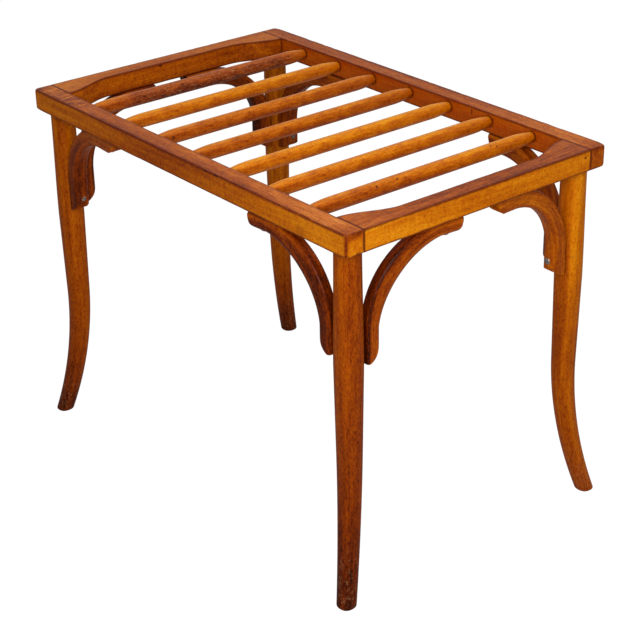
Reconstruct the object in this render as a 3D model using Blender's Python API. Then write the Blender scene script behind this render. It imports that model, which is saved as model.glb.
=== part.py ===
"""Bentwood luggage rack: a slatted top of round bars on four sabre legs.

Two side rails run the full length, with an end rail tenoned between them at
each end. Seven round bars, thinned at both ends, sit in blind bores in the
side rails. Each leg has a round tenon that goes up through the foot of the
corner joint, and two quarter-bend braces tie it to the rails, each held by one
round-headed screw in the leg and one in the rail. Legs and braces were bent by
hand, so they differ a little from corner to corner.

World axes: X along the side rails, Y from front to rear, Z up. The origin is
on the floor, under the middle of the rack. All sizes are in metres.
"""

import math

import bmesh
import bpy
from mathutils import Matrix, Vector

# Overall sizes
FRAME_LENGTH = 0.660
FRAME_DEPTH = 0.420
RACK_HEIGHT = 0.500
FIT_GAP = 0.0003

# Rails: the end rails are wide at the corners and scooped to a slim waist
RAIL_HEIGHT = 0.0282
SIDE_RAIL_WIDTH = 0.027
END_RAIL_WIDTH = 0.048
END_RAIL_WAIST = 0.0255
SCOOP_RUN = 0.078
SCOOP_STEPS = 8
ARRIS = 0.0012
CORNER_ROUND = 0.004

# Tenons of the end rails, and the wood left round them
TENON_SHOULDER = 0.012
TENON_HEIGHT = 0.007
TENON_DEPTH = 0.015
TENON_COVER = 0.004
JOINT_WALL = 0.003

# Bars: the end ones stand a little nearer to the end rails than to each other
BAR_COUNT = 7
END_GAP_TRIM = 0.0019
BAR_RADIUS = 0.0095
BAR_DROP = 0.0115
BAR_TAPER = 0.034
BAR_END_RADIUS = 0.0066
BAR_TENON_RADIUS = 0.0058
BAR_TENON_LENGTH = 0.014
BAR_SIDES = 14
TENON_LEAD = 0.001

# Legs: upright above, sweeping outwards below the knee. They were bent by hand:
# the front right one sweeps a little less, and the rear left one the least
LEG_INSET_X = 0.0273
LEG_INSET_Y = 0.0255
KNEE_HEIGHT = 0.200
FLARE_X = 0.0250
FLARE_Y = 0.0268
FRONT_RIGHT_FLARE_X = 0.0198
FRONT_RIGHT_FLARE_Y = 0.0238
REAR_RIGHT_FLARE_X = 0.0268
REAR_LEFT_FLARE_X = 0.0085
REAR_LEFT_FLARE_Y = 0.0200
LEG_FOOT_RADIUS = 0.0120
LEG_BELLY_RADIUS = 0.0173
LEG_BELLY_HEIGHT = 0.320
LEG_TOP_RADIUS = 0.0157
LEG_SQUARENESS = 2.3
LEG_TENON_RADIUS = 0.010
FOOT_ROUND = 0.0025
LEG_SIDES = 20
FLARE_STEPS = 6

# Braces: quarter bends of rounded square stock. Their arms lean outwards, so
# that they lie under the rails, whose middles are further out than the legs.
# The inner side of each arm curves away over its last stretch
BRACE_WIDTH = 0.0213
ARM_THICKNESS = 0.0240
BEND_THICKNESS = 0.0222
BRACE_LEAN = 0.0080
BEND_STEPS = 7
SEAT_HOLLOW = 0.0008
OUTER_ROUND = 0.004
INNER_ROUND = 0.0065
END_EASE = 0.0012

# The front left braces are a little thinner than the rear ones. The front right
# ones are narrower, deeper in the bend and set further out
FRONT_LEFT_ARM_THICKNESS = 0.0225
SLIM_BRACE_WIDTH = 0.0165
SLIM_ARM_THICKNESS = 0.0185
SLIM_BEND_THICKNESS = 0.0255
SLIM_BRACE_LEAN = 0.0100
SLIM_BRACE_SET_OUT = 0.0080

# Bend radius and rail arm of each corner's pair, which differ as bent by hand,
# and the closer bend of the one under the front side rail's right end
FRONT_RIGHT_BEND = 0.107
FRONT_RIGHT_ARM = 0.0315
CLOSE_BEND = 0.104
FRONT_LEFT_BEND = 0.094
FRONT_LEFT_ARM = 0.043
REAR_RIGHT_BEND = 0.107
REAR_RIGHT_ARM = 0.026
REAR_LEFT_BEND = 0.102
REAR_LEFT_ARM = 0.042

# How far the inner side curves away at the end under the rail and on the leg
FRONT_RIGHT_END_RUNS = (0.010, 0.036)
FRONT_LEFT_END_RUNS = (0.027, 0.027)
REAR_END_RUNS = (0.018, 0.018)

# How far the braces reach down the legs, and how much lower the one under the
# right end rail at the front ends
BRACE_DROP = 0.141
LOW_BRACE_DROP = 0.152

# Screws
SCREW_HEAD_RADIUS = 0.0048
SCREW_HEAD_HEIGHT = 0.0028
SCREW_SHANK_RADIUS = 0.0021
SCREW_BITE = 0.010
SCREW_SETBACK = 0.021
SCREW_SINK = 0.0008
SCREW_SIDES = 10

# Places that follow from the sizes above
RAIL_BOTTOM = RACK_HEIGHT - RAIL_HEIGHT
HALF_LENGTH = FRAME_LENGTH / 2
HALF_DEPTH = FRAME_DEPTH / 2
INNER_DEPTH = HALF_DEPTH - SIDE_RAIL_WIDTH
LEG_X = HALF_LENGTH - LEG_INSET_X
LEG_Y = HALF_DEPTH - LEG_INSET_Y
LEG_TENON_LENGTH = RAIL_HEIGHT - TENON_COVER - TENON_HEIGHT - JOINT_WALL
BAR_HEIGHT = RACK_HEIGHT - BAR_DROP
BAR_PITCH = (FRAME_LENGTH - 2 * END_RAIL_WAIST + 2 * END_GAP_TRIM) / (BAR_COUNT + 1)
TENON_BOTTOM = RAIL_HEIGHT - TENON_COVER - TENON_HEIGHT
TENON_WIDTH = END_RAIL_WIDTH - 2 * TENON_SHOULDER
BRACE_TOP = RAIL_BOTTOM - FIT_GAP
BRACE_SEAT = LEG_BELLY_RADIUS - SEAT_HOLLOW

SMOOTH_ANGLE = math.radians(40)

# The side of each corner along X and along Y
CORNERS = {
    "front_right": (1, -1),
    "front_left": (-1, -1),
    "rear_right": (1, 1),
    "rear_left": (-1, 1),
}

# How far each foot stands out from the top of its leg
FLARES = {
    "front_right": (FRONT_RIGHT_FLARE_X, FRONT_RIGHT_FLARE_Y),
    "front_left": (FLARE_X, FLARE_Y),
    "rear_right": (REAR_RIGHT_FLARE_X, FLARE_Y),
    "rear_left": (REAR_LEFT_FLARE_X, REAR_LEFT_FLARE_Y),
}


class Brace:
    """The sizes and the place of one brace.

    Its own frame has the corner of its two outer faces at the origin: the arm
    along -X lies under the rail and the arm along -Z against the leg. The hand
    is the side, along its own Y, on which the rail's outer face lies.
    """

    def __init__(self, corner, kind):
        side_x, side_y = CORNERS[corner]
        slim = corner == "front_right"
        self.name = f"brace_{corner}_{kind}"
        self.width = SLIM_BRACE_WIDTH if slim else BRACE_WIDTH
        self.arm_thickness = {
            "front_right": SLIM_ARM_THICKNESS,
            "front_left": FRONT_LEFT_ARM_THICKNESS,
        }.get(corner, ARM_THICKNESS)
        self.rail_run, self.leg_run = {
            "front_right": FRONT_RIGHT_END_RUNS,
            "front_left": FRONT_LEFT_END_RUNS,
        }.get(corner, REAR_END_RUNS)
        self.bend_thickness = SLIM_BEND_THICKNESS if slim else BEND_THICKNESS
        self.lean = SLIM_BRACE_LEAN if slim else BRACE_LEAN
        self.set_out = SLIM_BRACE_SET_OUT if slim else 0.0
        self.bend, self.rail_arm = {
            "front_right": (FRONT_RIGHT_BEND, FRONT_RIGHT_ARM),
            "front_left": (FRONT_LEFT_BEND, FRONT_LEFT_ARM),
            "rear_right": (REAR_RIGHT_BEND, REAR_RIGHT_ARM),
            "rear_left": (REAR_LEFT_BEND, REAR_LEFT_ARM),
        }[corner]
        if slim and kind == "side":
            self.bend = CLOSE_BEND
        self.reach = self.bend + self.rail_arm
        self.drop = LOW_BRACE_DROP if slim and kind == "end" else BRACE_DROP
        self.rail_screw = self.reach - SCREW_SETBACK
        self.leg_screw = self.drop - SCREW_SETBACK
        self.rail_seat = self.screw_seat(self.rail_run)
        self.leg_seat = self.screw_seat(self.leg_run)
        if kind == "side":
            self.hand = side_x * side_y
            place = (side_x * (LEG_X - BRACE_SEAT), side_y * LEG_Y, BRACE_TOP)
            turn = 0.0 if side_x > 0 else math.pi
        else:
            self.hand = -side_x * side_y
            place = (side_x * LEG_X, side_y * (LEG_Y - BRACE_SEAT), BRACE_TOP)
            turn = side_y * math.pi / 2
        self.matrix = Matrix.Translation(place) @ Matrix.Rotation(turn, 4, "Z")

    def screw_seat(self, run):
        """How deep a screw's head sits, sunk where an end curves away over a run."""
        back = min((SCREW_SETBACK - SCREW_HEAD_RADIUS) / run, 1.0)
        return self.arm_thickness * math.sqrt(1 - (1 - back) ** 2) - SCREW_SINK

    def shift(self, reach):
        """How far the brace lies from the leg's axis, along its own Y."""
        return self.hand * (self.set_out + self.lean * max(reach, 0.0) / self.reach)


def clear_scene():
    """Remove every object that the file opened with."""
    for found in list(bpy.data.objects):
        bpy.data.objects.remove(found, do_unlink=True)


def make_material(name, colour, roughness, metallic=0.0):
    """Return a plain Principled material in a linear colour."""
    material = bpy.data.materials.new(name)
    material.use_nodes = True
    shader = material.node_tree.nodes["Principled BSDF"]
    shader.inputs["Base Color"].default_value = (*colour, 1.0)
    shader.inputs["Roughness"].default_value = roughness
    shader.inputs["Metallic"].default_value = metallic
    material.diffuse_color = (*colour, 1.0)
    return material


def finish_mesh(bm, name):
    """Turn a bmesh into a smooth-shaded mesh with its faces outwards."""
    bmesh.ops.recalc_face_normals(bm, faces=bm.faces)
    mesh = bpy.data.meshes.new(name)
    bm.to_mesh(mesh)
    bm.free()
    mesh.shade_smooth()
    mesh.set_sharp_from_angle(angle=SMOOTH_ANGLE)
    return mesh


def add_object(name, mesh, material=None, location=(0, 0, 0), turn=0.0):
    """Place a mesh in the scene under a name, turned about Z."""
    item = bpy.data.objects.new(name, mesh)
    bpy.context.scene.collection.objects.link(item)
    item.location = location
    item.rotation_euler = (0, 0, turn)
    if material:
        item.data.materials.clear()
        item.data.materials.append(material)
    return item


def add_cutter(name, mesh):
    """Place a mesh that only shapes another piece."""
    cutter = add_object(name, mesh)
    cutter.hide_render = True
    cutter.display_type = "WIRE"
    return cutter


def combine(item, tool, operation):
    """Add a Boolean of one object with another."""
    boolean = item.modifiers.new(tool.name, "BOOLEAN")
    boolean.operation = operation
    boolean.object = tool


def loft(bm, rings):
    """Skin a list of equal rings of points and close both ends."""
    loops = [[bm.verts.new(point) for point in ring] for ring in rings]
    count = len(loops[0])
    for lower, upper in zip(loops, loops[1:]):
        for i in range(count):
            j = (i + 1) % count
            bm.faces.new((lower[i], lower[j], upper[j], upper[i]))
    bm.faces.new(loops[0])
    bm.faces.new(loops[-1])


def add_box(bm, low, high):
    """Add a closed box between two corners and return its edges."""
    size = Vector(high) - Vector(low)
    middle = (Vector(high) + Vector(low)) / 2
    place = Matrix.Translation(middle) @ Matrix.Diagonal((*size, 1))
    made = bmesh.ops.create_cube(bm, size=1.0, matrix=place)
    return {edge for vert in made["verts"] for edge in vert.link_edges}


def add_turned(bm, start, direction, stations, sides):
    """Add a closed round body along a direction, from (height, radius) stations."""
    turn = Vector((0, 0, 1)).rotation_difference(Vector(direction))
    place = Matrix.Translation(start) @ turn.to_matrix().to_4x4()
    rings = []
    for height, radius in stations:
        ring = []
        for i in range(sides):
            angle = 2 * math.pi * (i + 0.5) / sides
            ring.append(place @ Vector((radius * math.cos(angle), radius * math.sin(angle), height)))
        rings.append(ring)
    loft(bm, rings)


def add_cylinder(bm, start, direction, length, radius, sides):
    """Add a closed cylinder that leaves a point along a direction."""
    add_turned(bm, start, direction, ((0, radius), (length, radius)), sides)


def edge_direction(edge):
    """Return the unit vector of an edge with its signs dropped."""
    run = (edge.verts[0].co - edge.verts[1].co).normalized()
    return Vector((abs(run.x), abs(run.y), abs(run.z)))


def soften(bm, edges, width, segments=1):
    """Bevel the given edges by a width."""
    bmesh.ops.bevel(bm, geom=list(edges), offset=width, segments=segments, profile=0.5,
                    affect="EDGES", clamp_overlap=True)


def bar_places():
    """Return the X of each bar, spread evenly between the end rails' waists."""
    first = -HALF_LENGTH + END_RAIL_WAIST + BAR_PITCH - END_GAP_TRIM
    return [first + BAR_PITCH * i for i in range(BAR_COUNT)]


def side_rail_mesh():
    """Full-length rail in its own frame: outer face at y=0, wood towards +Y."""
    bm = bmesh.new()
    edges = add_box(bm, (-HALF_LENGTH, 0, 0), (HALF_LENGTH, SIDE_RAIL_WIDTH, RAIL_HEIGHT))
    outer_uprights = [edge for edge in edges
                      if edge_direction(edge).z > 0.9 and edge.verts[0].co.y < SIDE_RAIL_WIDTH / 2]
    soften(bm, outer_uprights, CORNER_ROUND, 3)
    soften(bm, [edge for edge in bm.edges if edge_direction(edge).z < 0.1], ARRIS)
    return finish_mesh(bm, "side_rail")


def side_rail_cutter_mesh():
    """Bar bores and end-rail mortises, in the side rail's own frame."""
    bm = bmesh.new()
    bore_depth = BAR_TENON_LENGTH + FIT_GAP
    for x in bar_places():
        start = (x, SIDE_RAIL_WIDTH + JOINT_WALL, RAIL_HEIGHT - BAR_DROP)
        add_cylinder(bm, start, (0, -1, 0), bore_depth + JOINT_WALL,
                     BAR_TENON_RADIUS + FIT_GAP, BAR_SIDES)
    half = TENON_WIDTH / 2 + FIT_GAP
    for side in (-1, 1):
        middle = side * (HALF_LENGTH - END_RAIL_WIDTH / 2)
        low = (middle - half, SIDE_RAIL_WIDTH - TENON_DEPTH - FIT_GAP, TENON_BOTTOM - FIT_GAP)
        high = (middle + half, SIDE_RAIL_WIDTH + JOINT_WALL, TENON_BOTTOM + TENON_HEIGHT + FIT_GAP)
        add_box(bm, low, high)
    return finish_mesh(bm, "side_rail_cutter")


def scoop_edge():
    """Return the inner outline of an end rail from one end to the other."""
    half = INNER_DEPTH - FIT_GAP
    points = []
    for i in range(SCOOP_STEPS + 1):
        share = i / SCOOP_STEPS
        blend = share * share * (3 - 2 * share)
        width = END_RAIL_WIDTH + (END_RAIL_WAIST - END_RAIL_WIDTH) * blend
        points.append((width, half - SCOOP_RUN * share))
    return points + [(width, -y) for width, y in reversed(points)]


def end_rail_mesh():
    """End rail in its own frame: outer face at x=0, wood towards -X."""
    half = INNER_DEPTH - FIT_GAP
    outline = [(0, -half), (0, half)] + [(-width, y) for width, y in scoop_edge()]
    bm = bmesh.new()
    loft(bm, [[Vector((x, y, z)) for x, y in outline] for z in (0, RAIL_HEIGHT)])
    rims = [edge for edge in bm.edges if edge_direction(edge).z < 0.1
            and not all(abs(abs(vert.co.y) - half) < 1e-6 for vert in edge.verts)]
    soften(bm, rims, ARRIS)
    return finish_mesh(bm, "end_rail")


def end_tenon_mesh():
    """Both tenons of an end rail, rooted in its ends, in the rail's frame."""
    bm = bmesh.new()
    low_x = TENON_SHOULDER - END_RAIL_WIDTH
    for low_y in (-INNER_DEPTH - TENON_DEPTH, INNER_DEPTH - JOINT_WALL):
        add_box(bm, (low_x, low_y, TENON_BOTTOM),
                (low_x + TENON_WIDTH, low_y + TENON_DEPTH + JOINT_WALL, TENON_BOTTOM + TENON_HEIGHT))
    return finish_mesh(bm, "end_tenon")


def leg_bore_mesh():
    """Bores for the four leg tenons, from below the rails."""
    bm = bmesh.new()
    for side_x, side_y in CORNERS.values():
        start = (side_x * LEG_X, side_y * LEG_Y, RAIL_BOTTOM - JOINT_WALL)
        add_cylinder(bm, start, (0, 0, 1), LEG_TENON_LENGTH + FIT_GAP + JOINT_WALL,
                     LEG_TENON_RADIUS + FIT_GAP, LEG_SIDES)
    return finish_mesh(bm, "leg_bores")


def rail_screw_hole_mesh():
    """Pilot holes for the screws that go up into the rails."""
    bm = bmesh.new()
    for brace in all_braces():
        start = brace.matrix @ Vector((-brace.rail_screw, brace.shift(brace.rail_screw), -JOINT_WALL))
        add_cylinder(bm, start, (0, 0, 1), JOINT_WALL + SCREW_BITE + FIT_GAP,
                     SCREW_SHANK_RADIUS + FIT_GAP, SCREW_SIDES)
    return finish_mesh(bm, "rail_screw_holes")


def build_rails(material):
    """Make both side rails and both end rails with their joints."""
    leg_bores = add_cutter("leg_bores", leg_bore_mesh())
    screw_holes = add_cutter("rail_screw_holes", rail_screw_hole_mesh())
    for name, side in (("front", -1), ("rear", 1)):
        place = (0, side * HALF_DEPTH, RAIL_BOTTOM)
        turn = 0.0 if side < 0 else math.pi
        rail = add_object("side_rail_" + name, side_rail_mesh(), material, place, turn)
        cutter = add_cutter("side_rail_cutter_" + name, side_rail_cutter_mesh())
        cutter.location = place
        cutter.rotation_euler = rail.rotation_euler
        combine(rail, cutter, "DIFFERENCE")
        combine(rail, leg_bores, "DIFFERENCE")
        combine(rail, screw_holes, "DIFFERENCE")
    for name, side in (("left", -1), ("right", 1)):
        place = (side * HALF_LENGTH, 0, RAIL_BOTTOM)
        turn = 0.0 if side > 0 else math.pi
        rail = add_object("end_rail_" + name, end_rail_mesh(), material, place, turn)
        tenons = add_cutter("end_tenons_" + name, end_tenon_mesh())
        tenons.location = place
        tenons.rotation_euler = rail.rotation_euler
        combine(rail, tenons, "UNION")
        combine(rail, leg_bores, "DIFFERENCE")
        combine(rail, screw_holes, "DIFFERENCE")


def circle(radius, sides, squareness=2.0):
    """Return a round section, squarer as its exponent rises over 2."""
    points = []
    for i in range(sides):
        angle = 2 * math.pi * i / sides
        x, y = math.cos(angle), math.sin(angle)
        scale = (abs(x) ** squareness + abs(y) ** squareness) ** (-1 / squareness)
        points.append(Vector((radius * scale * x, radius * scale * y, 0)))
    return points


def bar_radius(distance):
    """Radius of a bar at a distance from its shoulder, swelling to full size."""
    share = min(distance / BAR_TAPER, 1.0)
    return BAR_END_RADIUS + (BAR_RADIUS - BAR_END_RADIUS) * math.sin(share * math.pi / 2)


def bar_mesh():
    """Round bar along Y with a thinned stretch and a tenon at each end."""
    half = INNER_DEPTH - FIT_GAP
    tip = half + FIT_GAP + BAR_TENON_LENGTH
    end = [(tip, BAR_TENON_RADIUS - TENON_LEAD), (tip - TENON_LEAD, BAR_TENON_RADIUS),
           (half, BAR_TENON_RADIUS)]
    end += [(half - BAR_TAPER * share, bar_radius(BAR_TAPER * share)) for share in (0, 0.3, 0.65, 1)]
    stations = end + [(-y, radius) for y, radius in reversed(end)]
    bm = bmesh.new()
    loft(bm, [[Vector((p.x, y, p.y)) for p in circle(radius, BAR_SIDES)] for y, radius in stations])
    return finish_mesh(bm, "bar")


def build_bars(material):
    """Make the bars of the slatted top."""
    mesh = bar_mesh()
    for number, x in enumerate(bar_places(), start=1):
        add_object(f"bar_{number}", mesh, material, (x, 0, BAR_HEIGHT))


def leg_radius(height):
    """Radius of a leg: it swells to its belly and slims a little to the top."""
    if height < LEG_BELLY_HEIGHT:
        return LEG_FOOT_RADIUS + (LEG_BELLY_RADIUS - LEG_FOOT_RADIUS) * height / LEG_BELLY_HEIGHT
    share = (height - LEG_BELLY_HEIGHT) / (RAIL_BOTTOM - LEG_BELLY_HEIGHT)
    blend = share * share * (3 - 2 * share)
    return LEG_BELLY_RADIUS + (LEG_TOP_RADIUS - LEG_BELLY_RADIUS) * blend


def leg_flare(height):
    """Share of the outward sweep at a height: none above the knee."""
    return max(0.0, 1 - height / KNEE_HEIGHT) ** 2


def leg_mesh(corner):
    """Sabre leg with a round tenon, its axis upright through x=y=0."""
    side_x, side_y = CORNERS[corner]
    flare_x, flare_y = FLARES[corner]
    shoulder = RAIL_BOTTOM - FIT_GAP
    stations = [(0, leg_radius(0) - FOOT_ROUND), (FOOT_ROUND * 0.3, leg_radius(0) - FOOT_ROUND * 0.3),
                (FOOT_ROUND, leg_radius(FOOT_ROUND))]
    for i in range(1, FLARE_STEPS + 1):
        height = FOOT_ROUND + (KNEE_HEIGHT - FOOT_ROUND) * i / FLARE_STEPS
        stations.append((height, leg_radius(height)))
    for share in (0.5, 1.0):
        height = KNEE_HEIGHT + (LEG_BELLY_HEIGHT - KNEE_HEIGHT) * share
        stations.append((height, leg_radius(height)))
    for share in (0.35, 0.7):
        height = LEG_BELLY_HEIGHT + (shoulder - LEG_BELLY_HEIGHT) * share
        stations.append((height, leg_radius(height)))
    stations.append((shoulder - ARRIS, leg_radius(shoulder - ARRIS)))
    stations.append((shoulder, LEG_TOP_RADIUS - ARRIS))
    rings = []
    for height, radius in stations:
        sweep = leg_flare(height)
        middle = Vector((side_x * flare_x * sweep, side_y * flare_y * sweep, height))
        rings.append([middle + p for p in circle(radius, LEG_SIDES, LEG_SQUARENESS)])
    top = RAIL_BOTTOM + LEG_TENON_LENGTH
    for height, radius in ((shoulder, LEG_TENON_RADIUS), (top - TENON_LEAD, LEG_TENON_RADIUS),
                           (top, LEG_TENON_RADIUS - TENON_LEAD)):
        rings.append([Vector((0, 0, height)) + p for p in circle(radius, LEG_SIDES)])
    bm = bmesh.new()
    loft(bm, rings)
    return finish_mesh(bm, "leg")


def leg_screw_hole_mesh(corner):
    """Pilot holes for the screws of a leg's two braces, where the leg stands."""
    bm = bmesh.new()
    for kind in ("side", "end"):
        brace = Brace(corner, kind)
        start = brace.matrix @ Vector((-JOINT_WALL, brace.shift(0), -brace.leg_screw))
        into_leg = brace.matrix.to_3x3() @ Vector((1, 0, 0))
        add_cylinder(bm, start, into_leg, JOINT_WALL + SCREW_BITE + FIT_GAP,
                     SCREW_SHANK_RADIUS + FIT_GAP, SCREW_SIDES)
    return finish_mesh(bm, "leg_screw_holes")


def build_legs(material):
    """Make the four legs, each with pilot holes for its braces."""
    for corner, (side_x, side_y) in CORNERS.items():
        place = (side_x * LEG_X, side_y * LEG_Y, 0)
        leg = add_object("leg_" + corner, leg_mesh(corner), material, place)
        combine(leg, add_cutter("leg_screw_holes_" + corner, leg_screw_hole_mesh(corner)), "DIFFERENCE")


def brace_section(width, thickness, inset=0.0):
    """Rounded square section as (across, depth) pairs, depth 0 on the outer face."""
    half = width / 2 - inset
    near, far = inset, thickness - inset
    outer, inner = OUTER_ROUND, INNER_ROUND
    flat = half - outer
    section = [(flat * share, near) for share in (-1, -0.5, 0, 0.5, 1)]
    for centre_a, centre_o, radius, start, steps in (
            (half - outer, near + outer, outer, -90, 2), (half - inner, far - inner, inner, 0, 3),
            (-half + inner, far - inner, inner, 90, 3), (-half + outer, near + outer, outer, 180, 2)):
        for i in range(steps + 1):
            angle = math.radians(start + 90 * i / steps)
            point = (centre_a + radius * math.cos(angle), centre_o + radius * math.sin(angle))
            if all(math.dist(point, other) > 1e-5 for other in section):
                section.append(point)
    return section


def seat_depth(across, height):
    """How far the leg's round side reaches past the brace's outer face."""
    radius = leg_radius(height) + FIT_GAP
    if abs(across) >= radius:
        return -BRACE_SEAT
    depth = (radius ** LEG_SQUARENESS - abs(across) ** LEG_SQUARENESS) ** (1 / LEG_SQUARENESS)
    return depth - BRACE_SEAT


def close_end(bm, ring, section):
    """Close a rounded end with strips across it, from the outer face inwards."""
    rows = {}
    for (across, depth), vert in zip(section, ring):
        rows.setdefault(round(depth, 6), []).append((across, vert))
    strips = [[vert for _, vert in sorted(rows[depth], key=lambda pair: pair[0])] for depth in sorted(rows)]
    for lower, upper in zip(strips, strips[1:]):
        bm.faces.new(lower + upper[::-1])


def brace_mesh(brace):
    """Quarter-bend brace in its own frame, hollowed where it meets the leg."""
    thickness = brace.arm_thickness
    full = brace_section(brace.width, thickness)
    eased = brace_section(brace.width, thickness, END_EASE)

    def end_ring(length, run, section):
        rounding = [1 - math.sqrt(max(0.0, 1 - (o / thickness) ** 2)) for _, o in section]
        return [(length - run * back, o, a) for back, (a, o) in zip(rounding, section)]

    rings = [end_ring(brace.reach, brace.rail_run, eased),
             end_ring(brace.reach - END_EASE, brace.rail_run, full)]
    for i in range(BEND_STEPS + 1):
        angle = math.pi / 2 * i / BEND_STEPS
        deep = thickness + (brace.bend_thickness - thickness) * math.sin(2 * angle)
        ring = []
        for a, o in brace_section(brace.width, deep):
            inner = brace.bend - o
            ring.append((brace.bend - inner * math.sin(angle), brace.bend - inner * math.cos(angle), a))
        rings.append(ring)
    for length, section in ((brace.drop - END_EASE, full), (brace.drop, eased)):
        rings.append([(v, u, a) for u, v, a in end_ring(length, brace.leg_run, section)])
    bm = bmesh.new()
    loops = []
    for ring in rings:
        loop = []
        for u, v, a in ring:
            across = a + brace.shift(u)
            u = max(u, seat_depth(across, BRACE_TOP - v))
            loop.append(bm.verts.new((-u, across, -v)))
        loops.append(loop)
    count = len(full)
    for lower, upper in zip(loops, loops[1:]):
        for i in range(count):
            j = (i + 1) % count
            bm.faces.new((lower[i], lower[j], upper[j], upper[i]))
    close_end(bm, loops[0], eased)
    close_end(bm, loops[-1], eased)
    return finish_mesh(bm, brace.name)


def brace_hole_mesh(brace):
    """Clearance holes for both screws of a brace, opened for their sunk heads."""
    bm = bmesh.new()
    shank = SCREW_SHANK_RADIUS + FIT_GAP
    head = (SCREW_HEAD_RADIUS + FIT_GAP) / math.cos(math.pi / SCREW_SIDES)
    at_leg = (JOINT_WALL, brace.shift(0), -brace.leg_screw)
    at_rail = (-brace.rail_screw, brace.shift(brace.rail_screw), JOINT_WALL)
    for start, direction, seat in ((at_leg, (-1, 0, 0), brace.leg_seat),
                                   (at_rail, (0, 0, -1), brace.rail_seat)):
        stations = ((0, shank), (JOINT_WALL + seat, shank), (JOINT_WALL + seat, head),
                    (brace.arm_thickness + 2 * JOINT_WALL, head))
        add_turned(bm, start, direction, stations, SCREW_SIDES)
    return finish_mesh(bm, "brace_holes")


def all_braces():
    """Return the eight braces, two to a corner."""
    return [Brace(corner, kind) for corner in CORNERS for kind in ("side", "end")]


def build_braces(material):
    """Make the eight braces with their screw holes."""
    for brace in all_braces():
        item = add_object(brace.name, brace_mesh(brace), material)
        holes = add_cutter("holes_" + brace.name, brace_hole_mesh(brace))
        for placed in (item, holes):
            placed.matrix_world = brace.matrix
        combine(item, holes, "DIFFERENCE")


def screw_mesh(length):
    """Round-headed wood screw, its head seated on z=0 and its shank along +Z."""
    head = [(-SCREW_HEAD_HEIGHT * math.sin(angle), SCREW_HEAD_RADIUS * math.cos(angle))
            for angle in (math.radians(70), math.radians(38), 0)]
    shank = [(0, SCREW_SHANK_RADIUS), (length - 2 * SCREW_SHANK_RADIUS, SCREW_SHANK_RADIUS),
             (length, SCREW_SHANK_RADIUS * 0.3)]
    bm = bmesh.new()
    loft(bm, [[Vector((p.x, p.y, z)) for p in circle(radius, SCREW_SIDES)] for z, radius in head + shank])
    return finish_mesh(bm, "screw")


def build_screws(material):
    """Make each brace's screw into the leg and its screw into the rail."""
    for brace in all_braces():
        into_leg = (Matrix.Translation((-brace.leg_seat - FIT_GAP, brace.shift(0), -brace.leg_screw))
                    @ Matrix.Rotation(math.pi / 2, 4, "Y"))
        into_rail = Matrix.Translation((-brace.rail_screw, brace.shift(brace.rail_screw),
                                        -brace.rail_seat - FIT_GAP))
        for kind, seat, place in (("leg_screw_", brace.leg_seat, into_leg),
                                  ("rail_screw_", brace.rail_seat, into_rail)):
            mesh = screw_mesh(seat + SCREW_BITE)
            screw = add_object(brace.name.replace("brace_", kind), mesh, material)
            screw.matrix_world = brace.matrix @ place


def build_rack():
    """Make the whole rack in its woods and steel, under one empty."""
    build_rails(make_material("rail_beech", (0.42, 0.13, 0.018), 0.38))
    build_bars(make_material("bar_beech", (0.46, 0.15, 0.022), 0.36))
    build_legs(make_material("leg_beech", (0.36, 0.105, 0.016), 0.38))
    build_braces(make_material("brace_beech", (0.24, 0.055, 0.012), 0.40))
    build_screws(make_material("screw_steel", (0.40, 0.38, 0.35), 0.35, metallic=1.0))
    pieces = list(bpy.context.scene.objects)
    rack = add_object("luggage_rack", None)
    for piece in pieces:
        piece.parent = rack


clear_scene()
build_rack()
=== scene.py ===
"""Looks of a bentwood luggage rack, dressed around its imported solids.

The rack is beech under an old amber varnish: flat rails, round bars, sabre legs
and quarter-bend braces with round-headed slotted screws. All sizes are in
metres in the model's own frame: X along the side rails, Y from front to rear,
Z up, with the floor at Z = 0.
"""

import math

import bmesh
import bpy
import numpy as np
from mathutils import Matrix, Vector, noise
from mathutils.bvhtree import BVHTree


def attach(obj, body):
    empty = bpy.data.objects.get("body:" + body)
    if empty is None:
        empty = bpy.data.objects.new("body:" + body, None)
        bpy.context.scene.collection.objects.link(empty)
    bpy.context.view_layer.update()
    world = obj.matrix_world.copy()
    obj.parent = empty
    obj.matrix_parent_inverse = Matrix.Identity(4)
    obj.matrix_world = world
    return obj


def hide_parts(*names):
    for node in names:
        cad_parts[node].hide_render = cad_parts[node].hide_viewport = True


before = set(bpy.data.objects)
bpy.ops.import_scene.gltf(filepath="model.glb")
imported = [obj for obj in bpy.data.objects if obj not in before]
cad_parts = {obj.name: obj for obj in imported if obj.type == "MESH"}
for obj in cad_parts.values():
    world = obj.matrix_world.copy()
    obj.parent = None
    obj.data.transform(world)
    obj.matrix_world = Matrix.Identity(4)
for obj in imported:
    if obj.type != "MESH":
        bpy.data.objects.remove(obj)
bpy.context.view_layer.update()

MM = 0.001

# Sizes of the solids
FRAME_LENGTH = 0.660
FRAME_DEPTH = 0.420
RACK_HEIGHT = 0.500
RAIL_HEIGHT = 0.0282
SIDE_RAIL_WIDTH = 0.027
END_RAIL_WIDTH = 0.048
END_RAIL_WAIST = 0.0255
SCOOP_RUN = 0.078
ARRIS = 0.0012
CORNER_ROUND = 0.004
BAR_COUNT = 7
BAR_RADIUS = 0.0095
BAR_DROP = 0.0115
BAR_TAPER = 0.034
BAR_END_RADIUS = 0.0066
END_GAP_TRIM = 0.0019
LEG_INSET_X = 0.0273
LEG_INSET_Y = 0.0255
KNEE_HEIGHT = 0.200
LEG_FOOT_RADIUS = 0.0120
LEG_BELLY_RADIUS = 0.0173
LEG_BELLY_HEIGHT = 0.320
LEG_TOP_RADIUS = 0.0157
LEG_SQUARENESS = 2.3
FOOT_ROUND = 0.0025
SEAT_CLEARANCE = 0.0001
BRACE_SEAT = 0.0165
BRACE_DROP = 0.141
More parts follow.
